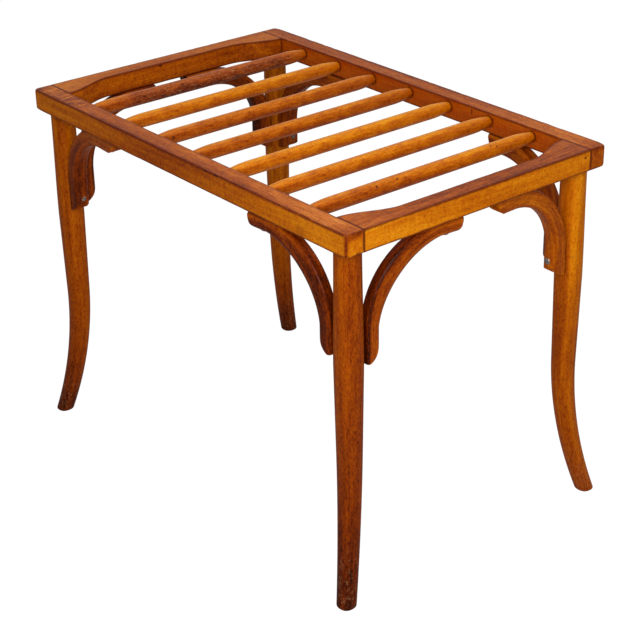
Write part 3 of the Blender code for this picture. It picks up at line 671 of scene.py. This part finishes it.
def brace_tree():
    """A quarter-bend brace: a rounded-square section swept round one bend, with open ends."""
    names = ("Width", "Thickness", "Reach", "Drop", "Bend Radius", "Outer Round", "Inner Round")
    tree, size = new_tree("quarter-bend brace", {**{n: "Float" for n in names}, "Bend Steps": "Int",
                                                 "Step": "Float", "Wood": "Material"})
    line = add(tree, "GeometryNodeMeshLine", {"Count": 3, "Start Location": (0, 0, 0), "Offset": (0, 0, 0)})
    index = add(tree, "GeometryNodeInputIndex")
    first = add(tree, "FunctionNodeCompare", {"A": index, "B": 0}, data_type="INT", operation="EQUAL")
    last = add(tree, "FunctionNodeCompare", {"A": index, "B": 2}, data_type="INT", operation="EQUAL")
    back = add(tree, "ShaderNodeMath", {0: size["Reach"], 1: -1.0}, operation="MULTIPLY")
    down = add(tree, "ShaderNodeMath", {0: size["Drop"], 1: -1.0}, operation="MULTIPLY")
    tip_x = add(tree, "ShaderNodeMath", {0: first, 1: back}, operation="MULTIPLY")
    tip_z = add(tree, "ShaderNodeMath", {0: last, 1: down}, operation="MULTIPLY")
    knee = add(tree, "ShaderNodeCombineXYZ", {"X": tip_x, "Z": tip_z})
    bent = add(tree, "GeometryNodeSetPosition", {"Geometry": line, "Position": knee})
    path = add(tree, "GeometryNodeMeshToCurve", {0: bent})
    eased = add(tree, "GeometryNodeFilletCurve", {"Curve": path, "Count": size["Bend Steps"],
                                                  "Radius": size["Bend Radius"]}, mode="POLY")
    even = add(tree, "GeometryNodeResampleCurve", {"Curve": eased, "Length": size["Step"]}, mode="LENGTH")
    far = add(tree, "GeometryNodeSplineParameter").outputs["Length"]
    measured = add(tree, "GeometryNodeStoreNamedAttribute", {"Geometry": even, "Name": "along",
                                                             "Value": far})
    shape = add(tree, "GeometryNodeCurvePrimitiveQuadrilateral", {"Width": size["Width"],
                                                                  "Height": size["Thickness"]})
    at = add(tree, "ShaderNodeSeparateXYZ", {0: add(tree, "GeometryNodeInputPosition")}).outputs
    inside = add(tree, "ShaderNodeMath", {0: at["Y"], 1: 0.0}, operation="GREATER_THAN")
    radius = add(tree, "ShaderNodeMapRange", {"Value": inside, "To Min": size["Outer Round"],
                                              "To Max": size["Inner Round"]})
    rounded = add(tree, "GeometryNodeFilletCurve", {"Curve": shape, "Count": 5,
                                                    "Radius": radius}, mode="POLY")
    fine = add(tree, "GeometryNodeSubdivideCurve", {"Curve": rounded, "Cuts": 3})
    half = add(tree, "ShaderNodeMath", {0: size["Thickness"], 1: 0.5}, operation="MULTIPLY")
    inwards = add(tree, "ShaderNodeCombineXYZ", {"Y": half})
    seated = add(tree, "GeometryNodeSetPosition", {"Geometry": fine, "Offset": inwards})
    section = add(tree, "GeometryNodeStoreNamedAttribute",
                  {"Geometry": seated, "Name": "section",
                   "Value": add(tree, "GeometryNodeInputPosition")}, data_type="FLOAT_VECTOR")
    swept = add(tree, "GeometryNodeCurveToMesh", {"Curve": measured, "Profile Curve": section,
                                                  "Fill Caps": False})

    along = add(tree, "GeometryNodeInputNamedAttribute", {"Name": "along"}, data_type="FLOAT")
    across = add(tree, "GeometryNodeInputNamedAttribute", {"Name": "section"}, data_type="FLOAT_VECTOR")
    part = add(tree, "ShaderNodeSeparateXYZ", {0: across}).outputs
    run = add(tree, "ShaderNodeCombineXYZ", {"X": along, "Y": part["X"], "Z": part["Y"]})
    named = add(tree, "GeometryNodeStoreNamedAttribute", {"Geometry": swept, "Name": "grain",
                                                          "Value": run}, data_type="FLOAT_VECTOR")
    painted = add(tree, "GeometryNodeSetMaterial", {"Geometry": named, "Material": size["Wood"]})
    real = add(tree, "GeometryNodeRealizeInstances", {"Geometry": painted})
    add(tree, "NodeGroupOutput", {0: real})
    return tree


def leg_radius(height):
    """Radius of a leg: it swells to its belly and slims a little to the top."""
    if height < LEG_BELLY_HEIGHT:
        return LEG_FOOT_RADIUS + (LEG_BELLY_RADIUS - LEG_FOOT_RADIUS) * height / LEG_BELLY_HEIGHT
    slimmed = blend(height, LEG_BELLY_HEIGHT, RAIL_BOTTOM)
    return LEG_BELLY_RADIUS + (LEG_TOP_RADIUS - LEG_BELLY_RADIUS) * slimmed


def hand_shape(mesh, brace):
    """Give a brace its deeper or slimmer bend, rounded ends, outward lean and hollowed seat."""
    rail_arm, leg_arm = brace.rail_arm, brace.drop - brace.bend
    arc = brace.bend * math.pi / 2
    for vert, run in zip(mesh.vertices, mesh.attributes["grain"].data):
        along, across, depth = run.vector
        angle = max(0.0, min(1.0, (along - rail_arm) / arc)) * math.pi / 2
        deep = brace.arm_thickness + (brace.bend_thickness - brace.arm_thickness) * math.sin(2 * angle)
        more = depth * (deep / brace.arm_thickness - 1)
        back = 1 - math.sqrt(max(0.0, 1 - (depth / brace.arm_thickness) ** 2))
        rail_share = max(0.0, (rail_arm - along) / rail_arm)
        leg_share = max(0.0, (along - rail_arm - arc) / leg_arm)
        u = -vert.co.x + more * math.sin(angle) - brace.rail_run * back * min(rail_share, 1.0)
        v = -vert.co.z + more * math.cos(angle) - brace.leg_run * back * min(leg_share, 1.0)
        y = vert.co.y + brace.shift(u)
        radius = leg_radius(RAIL_BOTTOM - v) + SEAT_CLEARANCE
        if abs(y) < radius:
            side = (radius ** LEG_SQUARENESS - abs(y) ** LEG_SQUARENESS) ** (1 / LEG_SQUARENESS)
            u = max(u, side - BRACE_SEAT)
        vert.co = (-u, y, -v)


def close_ends(mesh):
    """Close both open ends of a brace with strips across them, and ease their rims."""
    bm = bmesh.new()
    bm.from_mesh(mesh)
    grain = bm.verts.layers.float_vector["grain"]
    open_edges = [edge for edge in bm.edges if edge.is_boundary]
    ends = {vert for edge in open_edges for vert in edge.verts}
    longest = max(vert[grain].x for vert in ends)
    for at_leg in (False, True):
        ring = [vert for vert in ends if (vert[grain].x > longest / 2) == at_leg]
        vert = min(ring, key=lambda v: (abs(v[grain].y) > 0.1 * MM, v[grain].z))
        loop = [vert]
        while len(loop) < len(ring):
            step = [edge.other_vert(vert) for edge in vert.link_edges if edge.is_boundary]
            vert = next(v for v in step if v not in loop)
            loop.append(vert)
        count = len(loop)
        for i in range(count // 2):
            strip = [loop[i], loop[i + 1], loop[count - i - 1], loop[-i]]
            bm.faces.new(list(dict.fromkeys(strip)))
    bmesh.ops.recalc_face_normals(bm, faces=bm.faces)
    bmesh.ops.bevel(bm, geom=open_edges, offset=END_EASE, segments=3, profile=0.5, affect="EDGES",
                    clamp_overlap=True)
    bm.to_mesh(mesh)
    bm.free()


def all_braces():
    """Return the eight braces, two to a corner."""
    return [Brace(corner, kind) for corner in CORNERS for kind in ("side", "end")]


# Screws.

def screw_tree():
    """Round slotted screw heads on points, each turned to its point's axis."""
    names = ("Head Radius", "Head Height", "Slot Width", "Slot Depth")
    tree, size = new_tree("slotted screws", {**{n: "Float" for n in names}, "Steel": "Material"})
    ball = add(tree, "GeometryNodeMeshUVSphere", {"Segments": 40, "Rings": 20, "Radius": 1.0})
    flat = add(tree, "ShaderNodeCombineXYZ", {"X": size["Head Radius"], "Y": size["Head Radius"],
                                              "Z": size["Head Height"]})
    dome = add(tree, "GeometryNodeTransform", {"Geometry": ball, "Scale": flat})
    wide = add(tree, "ShaderNodeMath", {0: size["Head Radius"], 1: 2.5}, operation="MULTIPLY")
    deep = add(tree, "ShaderNodeMath", {0: size["Slot Depth"], 1: 2.0}, operation="MULTIPLY")
    bar = add(tree, "ShaderNodeCombineXYZ", {"X": wide, "Y": size["Slot Width"], "Z": deep})
    box = add(tree, "GeometryNodeMeshCube", {"Size": bar})
    lift = add(tree, "ShaderNodeCombineXYZ", {"Z": size["Head Height"]})
    raised = add(tree, "GeometryNodeTransform", {"Geometry": box, "Translation": lift})
    head = add(tree, "GeometryNodeMeshBoolean", {"Mesh 1": dome, "Mesh 2": raised},
               operation="DIFFERENCE", solver="EXACT")
    axis = add(tree, "GeometryNodeInputNamedAttribute", {"Name": "axis"}, data_type="FLOAT_VECTOR")
    turn = add(tree, "GeometryNodeInputNamedAttribute", {"Name": "turn"}, data_type="FLOAT")
    spin = add(tree, "FunctionNodeAxisAngleToRotation", {"Axis": (0, 0, 1), "Angle": turn})
    aimed = add(tree, "FunctionNodeAlignRotationToVector", {"Vector": axis}, axis="Z")
    both = add(tree, "FunctionNodeRotateRotation", {0: aimed, 1: spin}, rotation_space="LOCAL")
    copies = add(tree, "GeometryNodeInstanceOnPoints", {"Points": size["Geometry"], "Instance": head,
                                                        "Rotation": both})
    real = add(tree, "GeometryNodeRealizeInstances", {"Geometry": copies})
    painted = add(tree, "GeometryNodeSetMaterial", {"Geometry": real, "Material": size["Steel"]})
    add(tree, "NodeGroupOutput", {0: painted})
    return tree


def screw_points():
    """A mesh of bare points at the screws, with the way each one faces and its own turn of the slot."""
    places, axes, turns = [], [], []
    for number, brace in enumerate(all_braces()):
        leg_screw, rail_screw = brace.drop - SCREW_SETBACK, brace.reach - SCREW_SETBACK
        for place, axis in (((-brace.leg_seat, brace.shift(0), -leg_screw), (-1, 0, 0)),
                            ((-rail_screw, brace.shift(rail_screw), -brace.rail_seat), (0, 0, -1))):
            places.append(brace.matrix @ Vector(place))
            axes.append(brace.matrix.to_3x3() @ Vector(axis))
            turns.append(0.4 + 1.9 * number + axis[2])
    mesh = bpy.data.meshes.new("screw_points")
    mesh.from_pydata(places, [], [])
    store(mesh, "axis", axes)
    store(mesh, "turn", turns)
    return mesh


# Wood and steel.

def mark_edges(mesh):
    """Store how sharply the surface turns at each vertex, from 0 on a flat to 1 on an arris."""
    mesh.update()
    count = len(mesh.vertices)
    tables = []
    for source, field in ((mesh.vertices, "co"), (mesh.vertex_normals, "vector")):
        table = np.empty(count * 3)
        source.foreach_get(field, table)
        tables.append(table.reshape(-1, 3))
    co, normal = tables
    pairs = np.empty(len(mesh.edges) * 2, int)
    mesh.edges.foreach_get("vertices", pairs)
    first, second = pairs.reshape(-1, 2).T
    step = co[first] - co[second]
    bend = ((normal[first] - normal[second]) * step).sum(1) / np.maximum((step * step).sum(1), 1e-9)
    value = np.zeros(count)
    np.maximum.at(value, first, bend)
    np.maximum.at(value, second, bend)
    value = np.clip(value / SHARP_BEND, 0, 1)
    wider = value.copy()
    np.maximum.at(wider, first, EDGE_SPREAD * value[second])
    np.maximum.at(wider, second, EDGE_SPREAD * value[first])
    store(mesh, "edge", wider.tolist())


def varnished_beech(name, rough, specular, streaky=0.10, blotchy=0.16, figured=0.0, edge_share=0.8,
                    marks=()):
    """Beech under an old amber varnish. The tone attribute places it on the stain's ramp and a second
    attribute turns it to the pinkish ramp where the varnish has worn and, on upward faces, as a painted
    sheen, and noise along the grain adds broad bands, blotches, streaks and the short dark flecks that tell
    beech from other woods. Arrises take the edge stain, and the grime attribute darkens the joints and the
    contacts, as dirt and as painted contact shade."""
    material, tree = new_material(name)
    grain = add(tree, "ShaderNodeAttribute", attribute_name="grain").outputs["Vector"]
    kept = {label: add(tree, "ShaderNodeAttribute", attribute_name=label).outputs["Fac"]
            for label in ("tone", "rose", "red", "edge", "grime_and_shade", "sawn", "scuff")}

    def pattern(length, width, detail, coarseness, distortion):
        """Noise stretched along the grain."""
        scale = (1 / length, 1 / width, 1 / width)
        scaled = add(tree, "ShaderNodeMapping", {"Vector": grain, "Scale": scale})
        return add(tree, "ShaderNodeTexNoise", {"Vector": scaled, "Scale": 1.0, "Detail": detail,
                                                "Roughness": coarseness, "Distortion": distortion})

    mottle, streaks, flecks = pattern(*MOTTLE), pattern(*STREAKS), pattern(*FLECKS)

    # The tone: each pattern between two of its values, the least and the most that it adds, and its share
    layers = [(pattern(*BANDS), 0.3, 0.7, -streaky, streaky, 1.0),
              (mottle, 0.3, 0.7, -blotchy / 2, blotchy / 2, 1.0),
              (streaks, 0.3, 0.7, -streaky / 2, streaky / 2, 1.0),
              (flecks, 0.3, 0.7, -0.18, 0.18, 1.0),
              (pattern(*PORES), 0.35, 0.65, -0.15, 0.15, kept["rose"])]
    if figured:
        layers += [(pattern(*SAW_MARKS), 0.38, 0.62, -0.28, 0.22, kept["sawn"]),
                   (pattern(*FIGURE), 0.3, 0.7, -figured, figured, 1.0)]
    tone = kept["tone"]
    for source, low, high, least, most, share in layers:
        part = add(tree, "ShaderNodeMapRange", {"Value": source, "From Min": low, "From Max": high,
                                                "To Min": least, "To Max": most})
        tone = add(tree, "ShaderNodeMath", {0: part, 1: share, 2: tone}, operation="MULTIPLY_ADD")

    amber, rosy = (add(tree, "ShaderNodeValToRGB", {"Fac": tone}, tuple(zip(STAIN_STOPS, stains)))
                   for stains in (AMBER_STAINS, ROSE_STAINS))
    ragged = add(tree, "ShaderNodeMapRange", {"Value": mottle, "From Min": 0.3, "From Max": 0.7,
                                              "To Min": -0.35, "To Max": 0.35})
    # The pinkish share: worn varnish, and on upward faces a painted sheen
    worn = add(tree, "ShaderNodeMath", {0: kept["rose"], 1: ragged}, operation="ADD")
    scratched = add(tree, "ShaderNodeMath", {0: kept["scuff"], 1: 0.4}, operation="MULTIPLY")
    rubbed = add(tree, "ShaderNodeMath", {0: kept["edge"], 1: mottle}, operation="MULTIPLY")

    # The coats over the amber, each rising from nothing at one value to its most at another
    coats = [(worn, 0.3, 0.7, 1.0, rosy),
             (kept["red"], 0.0, 1.0, 1.0, linear(RED_STAIN)),
             (flecks, 0.58, 0.65, 0.6, linear(FLECK_STAIN)),
             (pattern(*SCRATCHES), 0.56, 0.70, scratched, linear(SCRATCH_STAIN)),
             (rubbed, 0.14, 0.45, edge_share, linear(EDGE_STAIN)),
             # Dirt in the joints and painted shade where pieces meet
             (kept["grime_and_shade"], 0.4, 1.0, 0.8, linear(GRIME_AND_SHADE_STAIN))]
    where = add(tree, "ShaderNodeTexCoord").outputs["Object"]
    for place, radii, strength, stain in marks:
        off = add(tree, "ShaderNodeVectorMath", {0: where, 1: place}, operation="SUBTRACT")
        scaled = add(tree, "ShaderNodeVectorMath", {0: off, 1: radii}, operation="DIVIDE")
        far = add(tree, "ShaderNodeVectorMath", {0: scaled}, operation="LENGTH").outputs["Value"]
        coats.append((far, 1.0, 0.4, strength, linear(stain)))
    colour = amber
    for source, low, high, most, stain in coats:
        share = add(tree, "ShaderNodeMapRange", {"Value": source, "From Min": low, "From Max": high,
                                                 "To Max": most})
        colour = add(tree, "ShaderNodeMix", {"Factor": share, "A": colour, "B": stain},
                     data_type="RGBA").outputs[2]

    gloss = add(tree, "ShaderNodeMapRange", {"Value": mottle, "From Min": 0.3, "From Max": 0.7,
                                             "To Min": rough - 0.07, "To Max": rough + 0.09})
    relief = add(tree, "ShaderNodeMath", {0: streaks, 1: flecks}, operation="ADD")
    bump = add(tree, "ShaderNodeBump", {"Strength": 0.4, "Distance": 0.25 * MM, "Height": relief})
    shader = add(tree, "ShaderNodeBsdfPrincipled", {"Base Color": colour, "Roughness": gloss, "IOR": 1.5,
                                                    "Specular IOR Level": specular, "Normal": bump})
    add(tree, "ShaderNodeOutputMaterial", {"Surface": shader})
    return material


def dull_steel(name):
    """Old steel screws: grey and specked, and browned where an attribute says so, by rust and, on the rear
    right screws, as painted shade.
    """
    material, tree = new_material(name)
    where = add(tree, "ShaderNodeTexCoord").outputs["Object"]
    specks = add(tree, "ShaderNodeTexNoise", {"Vector": where, "Scale": STEEL_SPECKS, "Detail": 3.0})
    shade = add(tree, "ShaderNodeValToRGB", {"Fac": specks}, ((0.38, "#5C524A"), (0.6, "#B8B4AC")))
    rust = add(tree, "ShaderNodeAttribute", attribute_name="rust").outputs["Fac"]
    dulled = add(tree, "ShaderNodeMix", {"Factor": rust, "A": shade, "B": linear("#5A3824")},
                 data_type="RGBA").outputs[2]
    rough = add(tree, "ShaderNodeMapRange", {"Value": specks, "To Min": 0.5, "To Max": 0.25})
    shader = add(tree, "ShaderNodeBsdfPrincipled", {"Base Color": dulled, "Metallic": 1.0,
                                                    "Roughness": rough})
    add(tree, "ShaderNodeOutputMaterial", {"Surface": shader})
    return material


# The rack.

def tint(mesh, tones, **more):
    """Store the tone and the pinkish share, for wear and painted sheen, that a function gives for each place
    and normal, and any more.
    """
    normals = mesh.vertex_normals
    both = [tones(vert.co, normals[vert.index].vector) for vert in mesh.vertices]
    store(mesh, "tone", [pair[0] for pair in both])
    store(mesh, "rose", [pair[1] for pair in both])
    for name, amount in more.items():
        store(mesh, name, [amount(vert.co) for vert in mesh.vertices])


def side_rail_tones(side):
    """The front rail is golden at its right end and red-brown at its left; tops are worn pinkish, the pink
    partly a painted sheen.
    """
    def tones(co, normal):
        share = (co.x + HALF_LENGTH) / FRAME_LENGTH
        from_end, from_side, from_top = HALF_LENGTH - abs(co.x), HALF_DEPTH - abs(co.y), RACK_HEIGHT - co.z
        chipped = 0.6 + 0.5 * wander((co.x, 0, 0), 0.02, 5)
        corner = blend(from_end, 3.2 * MM, 1.4 * MM) * blend(from_side, 3.2 * MM, 1.4 * MM)
        if corner > 0 and normal.z < 0.8:
            return 0.62 - 0.34 * corner, 0.2
        # Tops: worn pinkish, the pink partly a painted sheen
        if normal.z > 0.6:
            worn = blend(from_side, 9 * MM, 4 * MM) * chipped
            tone = between(share, 0.60, 0.57, 0.59, 0.78) - 0.22 * blend(share, 0.93, 1.0)
            return tone - 0.02 * (side > 0) - 0.24 * worn * blend(share, 0.95, 0.7), 0.6 + 0.3 * share
        if abs(normal.x) > 0.6:
            dark = 0.34 * blend(from_top, 13 * MM, 3 * MM)
            return (0.76 - dark, 0.1) if side < 0 else (0.50 - 0.3 * dark, 0.25)
        if side * normal.y < -0.6:
            return between(share, 0.62, 0.59, 0.62), 0.2
        face = between(share, 0.70, 0.62, 0.47, 0.66, 0.86) - 0.10 * blend(share, 0.93, 1.0)
        bleed = blend(from_top, 4.5 * MM, 1.5 * MM) * chipped
        return face - 0.2 * bleed, 0.6 * bleed
    return tones


def end_rail_tones(side):
    """The right end rail is the most golden; the left one's top is the palest."""
    def tones(co, normal):
        share = (co.y + INNER_DEPTH) / (2 * INNER_DEPTH)
        # Tops turn pinkish: partly wear, partly a painted sheen
        if normal.z > 0.6:
            if side > 0:
                return between(share, 0.60, 0.42, 0.40, 0.54), 0.95
            return between(share, 0.70, 0.58, 0.68), 0.4
        if side * normal.x < -0.4:
            return (between(share, 0.53, 0.48, 0.46), 0.05) if side < 0 else (0.48, 0.2)
        return between(share, 0.86, 0.76, 0.67, 0.74, 0.76), 0.0
    return tones


def leg_tones(corner):
    """Feet are dark and bare from being kicked; the stain lightens up the leg. Its right side and front get
    painted light and shade.
    """
    def tones(co, normal):
        lit, shaded = LEG_PAINTED_LIGHT_AND_SHADE[corner]
        tone = between(co.z / RAIL_BOTTOM, *LEG_TONES[corner])
        # Painted light on the right side, painted shade on the front
        tone += lit * blend(normal.x, 0.6, 0.9) - shaded * blend(-normal.y, 0.6, 0.95) * blend(co.z, 0.1, 0.3)
        return tone, 0.5 * blend(co.z, 0.10, 0.0)
    return tones


def bar_tones(co, normal):
    """Each bar was stained for itself: the first is dark and scuffed, the fifth golden. Upper sides get a
    painted highlight.
    """
    number = min(max(round((co.x - FIRST_BAR) / BAR_PITCH), 0), BAR_COUNT - 1)
    tone, rose = BAR_TONES[number]
    # Painted highlight on the upper sides, a little darker elsewhere
    tone += 0.25 * blend(normal.z, 0.45, 0.95) - 0.06
    if number == 0:
        front = max(blend(co.y, -0.10, -0.16), blend(co.y, 0.12, 0.17))
        tone, rose = tone + 0.2 * front, rose * (1 - 0.7 * front)
    if number == BAR_COUNT - 1:
        rear = blend(co.y, -0.08, 0.10)
        tone, rose = tone + 0.11 * rear, rose * (1 - 0.6 * rear)
    return tone, rose


def brace_tones(brace):
    """Braces are the darkest pieces. Upward faces get a painted sheen, and end braces but the rear right one,
    which is even all round, painted shade on their front sides.
    """
    def tones(co, normal):
        tone = between((co.z - RAIL_BOTTOM + brace.drop) / brace.drop, *BRACE_TONES[brace.name])
        if brace.name.endswith("end") and brace.name != "rear_right_end":
            # Painted shade on the front-facing sides
            tone -= PAINTED_SHADE_ON_FRONT_SIDES * blend(-normal.y, 0.0, 0.5)
        # Upward faces painted lighter and pinker: a painted sheen from above
        return tone + 0.08 * max(normal.z, 0.0), 0.3 * max(normal.z, 0.0)
    return tones


def sawn(co):
    """Saw marks lie across the top of the front rail's left end."""
    return blend(co.x, -0.20, -0.24) * blend(co.z, RACK_HEIGHT - 2 * MM, RACK_HEIGHT - 0.5 * MM) * (co.y < 0)


def reddened(co):
    """The rear rail's inner face kept its reddest stain."""
    inner = co.y > 0 and abs(co.y) < INNER_DEPTH + 1 * MM
    return 0.5 * inner * blend(co.z, RACK_HEIGHT, RACK_HEIGHT - 2 * MM)


def add_grime_and_contact_shade(pieces):
    """Store on each piece how near its surface lies to another piece, for dirt and painted contact shade. The
    side rails' ends get none.
    """
    trees, boxes, places = [], [], []
    for piece in pieces:
        mesh = piece.data
        points = [vert.co.copy() for vert in mesh.vertices]
        trees.append(BVHTree.FromPolygons(points, [tuple(p.vertices) for p in mesh.polygons]))
        table = np.array(points)
        boxes.append((table.min(0) - GRIME_AND_SHADE_REACH, table.max(0) + GRIME_AND_SHADE_REACH))
        places.append((points, table))
    for number, piece in enumerate(pieces):
        points, table = places[number]
        near = np.zeros(len(points))
        for other, (low, high) in enumerate(boxes):
            if other == number:
                continue
            for i in np.flatnonzero(((table > low) & (table < high)).all(1)):
                distance = trees[other].find_nearest(points[i], GRIME_AND_SHADE_REACH)[3]
                if distance is not None:
                    near[i] = max(near[i], 1 - distance / GRIME_AND_SHADE_REACH)
        ends = np.abs(table[:, 0]) > HALF_LENGTH - 1.0 * MM
        near[ends & (np.abs(table[:, 1]) > INNER_DEPTH + 1.0 * MM)] = 0.0
        store(piece.data, "grime_and_shade", near.tolist())


# Sawn and planed beech, rubbed on its arrises, then turned, shaved and steam-bent beech, each a little
# smoother or glossier as its varnish has lasted
rail_wood = varnished_beech("rail_beech_amber_varnish", rough=0.44, specular=0.05, blotchy=0.11, figured=0.06,
                            marks=RAIL_MARKS)
bar_wood = varnished_beech("bar_beech_amber_varnish", rough=0.36, specular=0.11, blotchy=0.22,
                           edge_share=0.2, marks=BAR_MARKS)
leg_wood = varnished_beech("leg_beech_amber_varnish", rough=0.42, specular=0.05, blotchy=0.12, edge_share=0.1)
brace_wood = varnished_beech("brace_beech_red_varnish", rough=0.36, specular=0.06, streaky=0.18,
                             edge_share=0.0)
steel = dull_steel("dull_steel")

place_camera()
light_studio()
lay_floor()

wooden = []
for name, side, seed in (("front", -1, 1.3), ("rear", 1, 3.4)):
    rail = side_rail("side_rail_" + name + "_varnished", side, seed)
    mark_edges(rail.data)
    tint(rail.data, side_rail_tones(side), sawn=sawn, red=reddened)
    wooden.append(finish_piece(rail, rail_wood, "rail", "side_rail_" + name))
for name, side, seed in (("left", -1, 6.2), ("right", 1, 7.9)):
    rail = end_rail("end_rail_" + name + "_varnished", side, seed)
    mark_edges(rail.data)
    tint(rail.data, end_rail_tones(side))
    wooden.append(finish_piece(rail, rail_wood, "rail", "end_rail_" + name))

sabre = leg_tree()
for number, (corner, (side_x, side_y)) in enumerate(CORNERS.items()):
    flare_x, flare_y = FLARES[corner]
    leg = grown("leg_" + corner + "_varnished", sabre,
                {"Height": RAIL_BOTTOM, "Knee Height": KNEE_HEIGHT, "Flare X": side_x * flare_x,
                 "Flare Y": side_y * flare_y, "Foot Radius": LEG_FOOT_RADIUS,
                 "Belly Radius": LEG_BELLY_RADIUS, "Belly Height": LEG_BELLY_HEIGHT,
                 "Top Radius": LEG_TOP_RADIUS, "Squareness": LEG_SQUARENESS, "Grain Start": 0.9 * number,
                 "Sides": 56, "Rings": 190, "Wood": leg_wood})
    soften_rim(leg.data, 0.0, FOOT_ROUND)
    leg.data.transform(Matrix.Translation((side_x * LEG_X, side_y * LEG_Y, 0)))
    mark_edges(leg.data)
    tint(leg.data, leg_tones(corner), scuff=lambda co: 0.8 * blend(co.z, 0.10, 0.03))
    wooden.append(finish_piece(leg, leg_wood, "leg", "leg_" + corner))

bars = grown("turned_bars", bar_tree(),
             {"Length": 2 * INNER_DEPTH, "Radius": BAR_RADIUS, "End Radius": BAR_END_RADIUS,
              "Taper": BAR_TAPER, "First": FIRST_BAR, "Pitch": BAR_PITCH, "Height": BAR_HEIGHT,
              "Count": BAR_COUNT, "Sides": 40, "Rings": 150, "Wood": bar_wood})
mark_edges(bars.data)
tint(bars.data, bar_tones,
     scuff=lambda co: float(co.x < FIRST_BAR + BAR_PITCH / 2) * blend(co.y, -0.14, -0.08))
wooden.append(finish_piece(bars, bar_wood, "bar", *[f"bar_{i + 1}" for i in range(BAR_COUNT)]))

bend = brace_tree()
for number, brace in enumerate(all_braces()):
    item = grown("bent_brace_" + brace.name, bend,
                 {"Width": brace.width, "Thickness": brace.arm_thickness, "Reach": brace.reach,
                  "Drop": brace.drop, "Bend Radius": brace.bend, "Outer Round": OUTER_ROUND,
                  "Inner Round": INNER_ROUND, "Bend Steps": 24, "Step": 3 * MM, "Wood": brace_wood})
    hand_shape(item.data, brace)
    close_ends(item.data)
    item.data.transform(brace.matrix)
    store(item.data, "grain", [tuple(g.vector + Vector((0.5 * number, 0, 0)))
                               for g in item.data.attributes["grain"].data])
    mark_edges(item.data)
    tint(item.data, brace_tones(brace))
    wooden.append(finish_piece(item, brace_wood, "brace", "brace_" + brace.name))
add_grime_and_contact_shade(wooden)

screws = grown("slotted_screws", screw_tree(),
               {"Head Radius": SCREW_HEAD_RADIUS, "Head Height": SCREW_HEAD_HEIGHT, "Slot Width": SLOT_WIDTH,
                "Slot Depth": SLOT_DEPTH, "Steel": steel}, screw_points())
# Rear screws are browned: rust at the left, rust and painted shade at the right
store(screws.data, "rust", [(RUST_LEFT if vert.co.x < 0 else RUST_AND_SHADE_RIGHT) * float(vert.co.y > 0)
                            for vert in screws.data.vertices])
finish_piece(screws, steel, "screw", *[f"{kind}_screw_{brace.name}" for kind in ("leg", "rail")
                                       for brace in all_braces()])
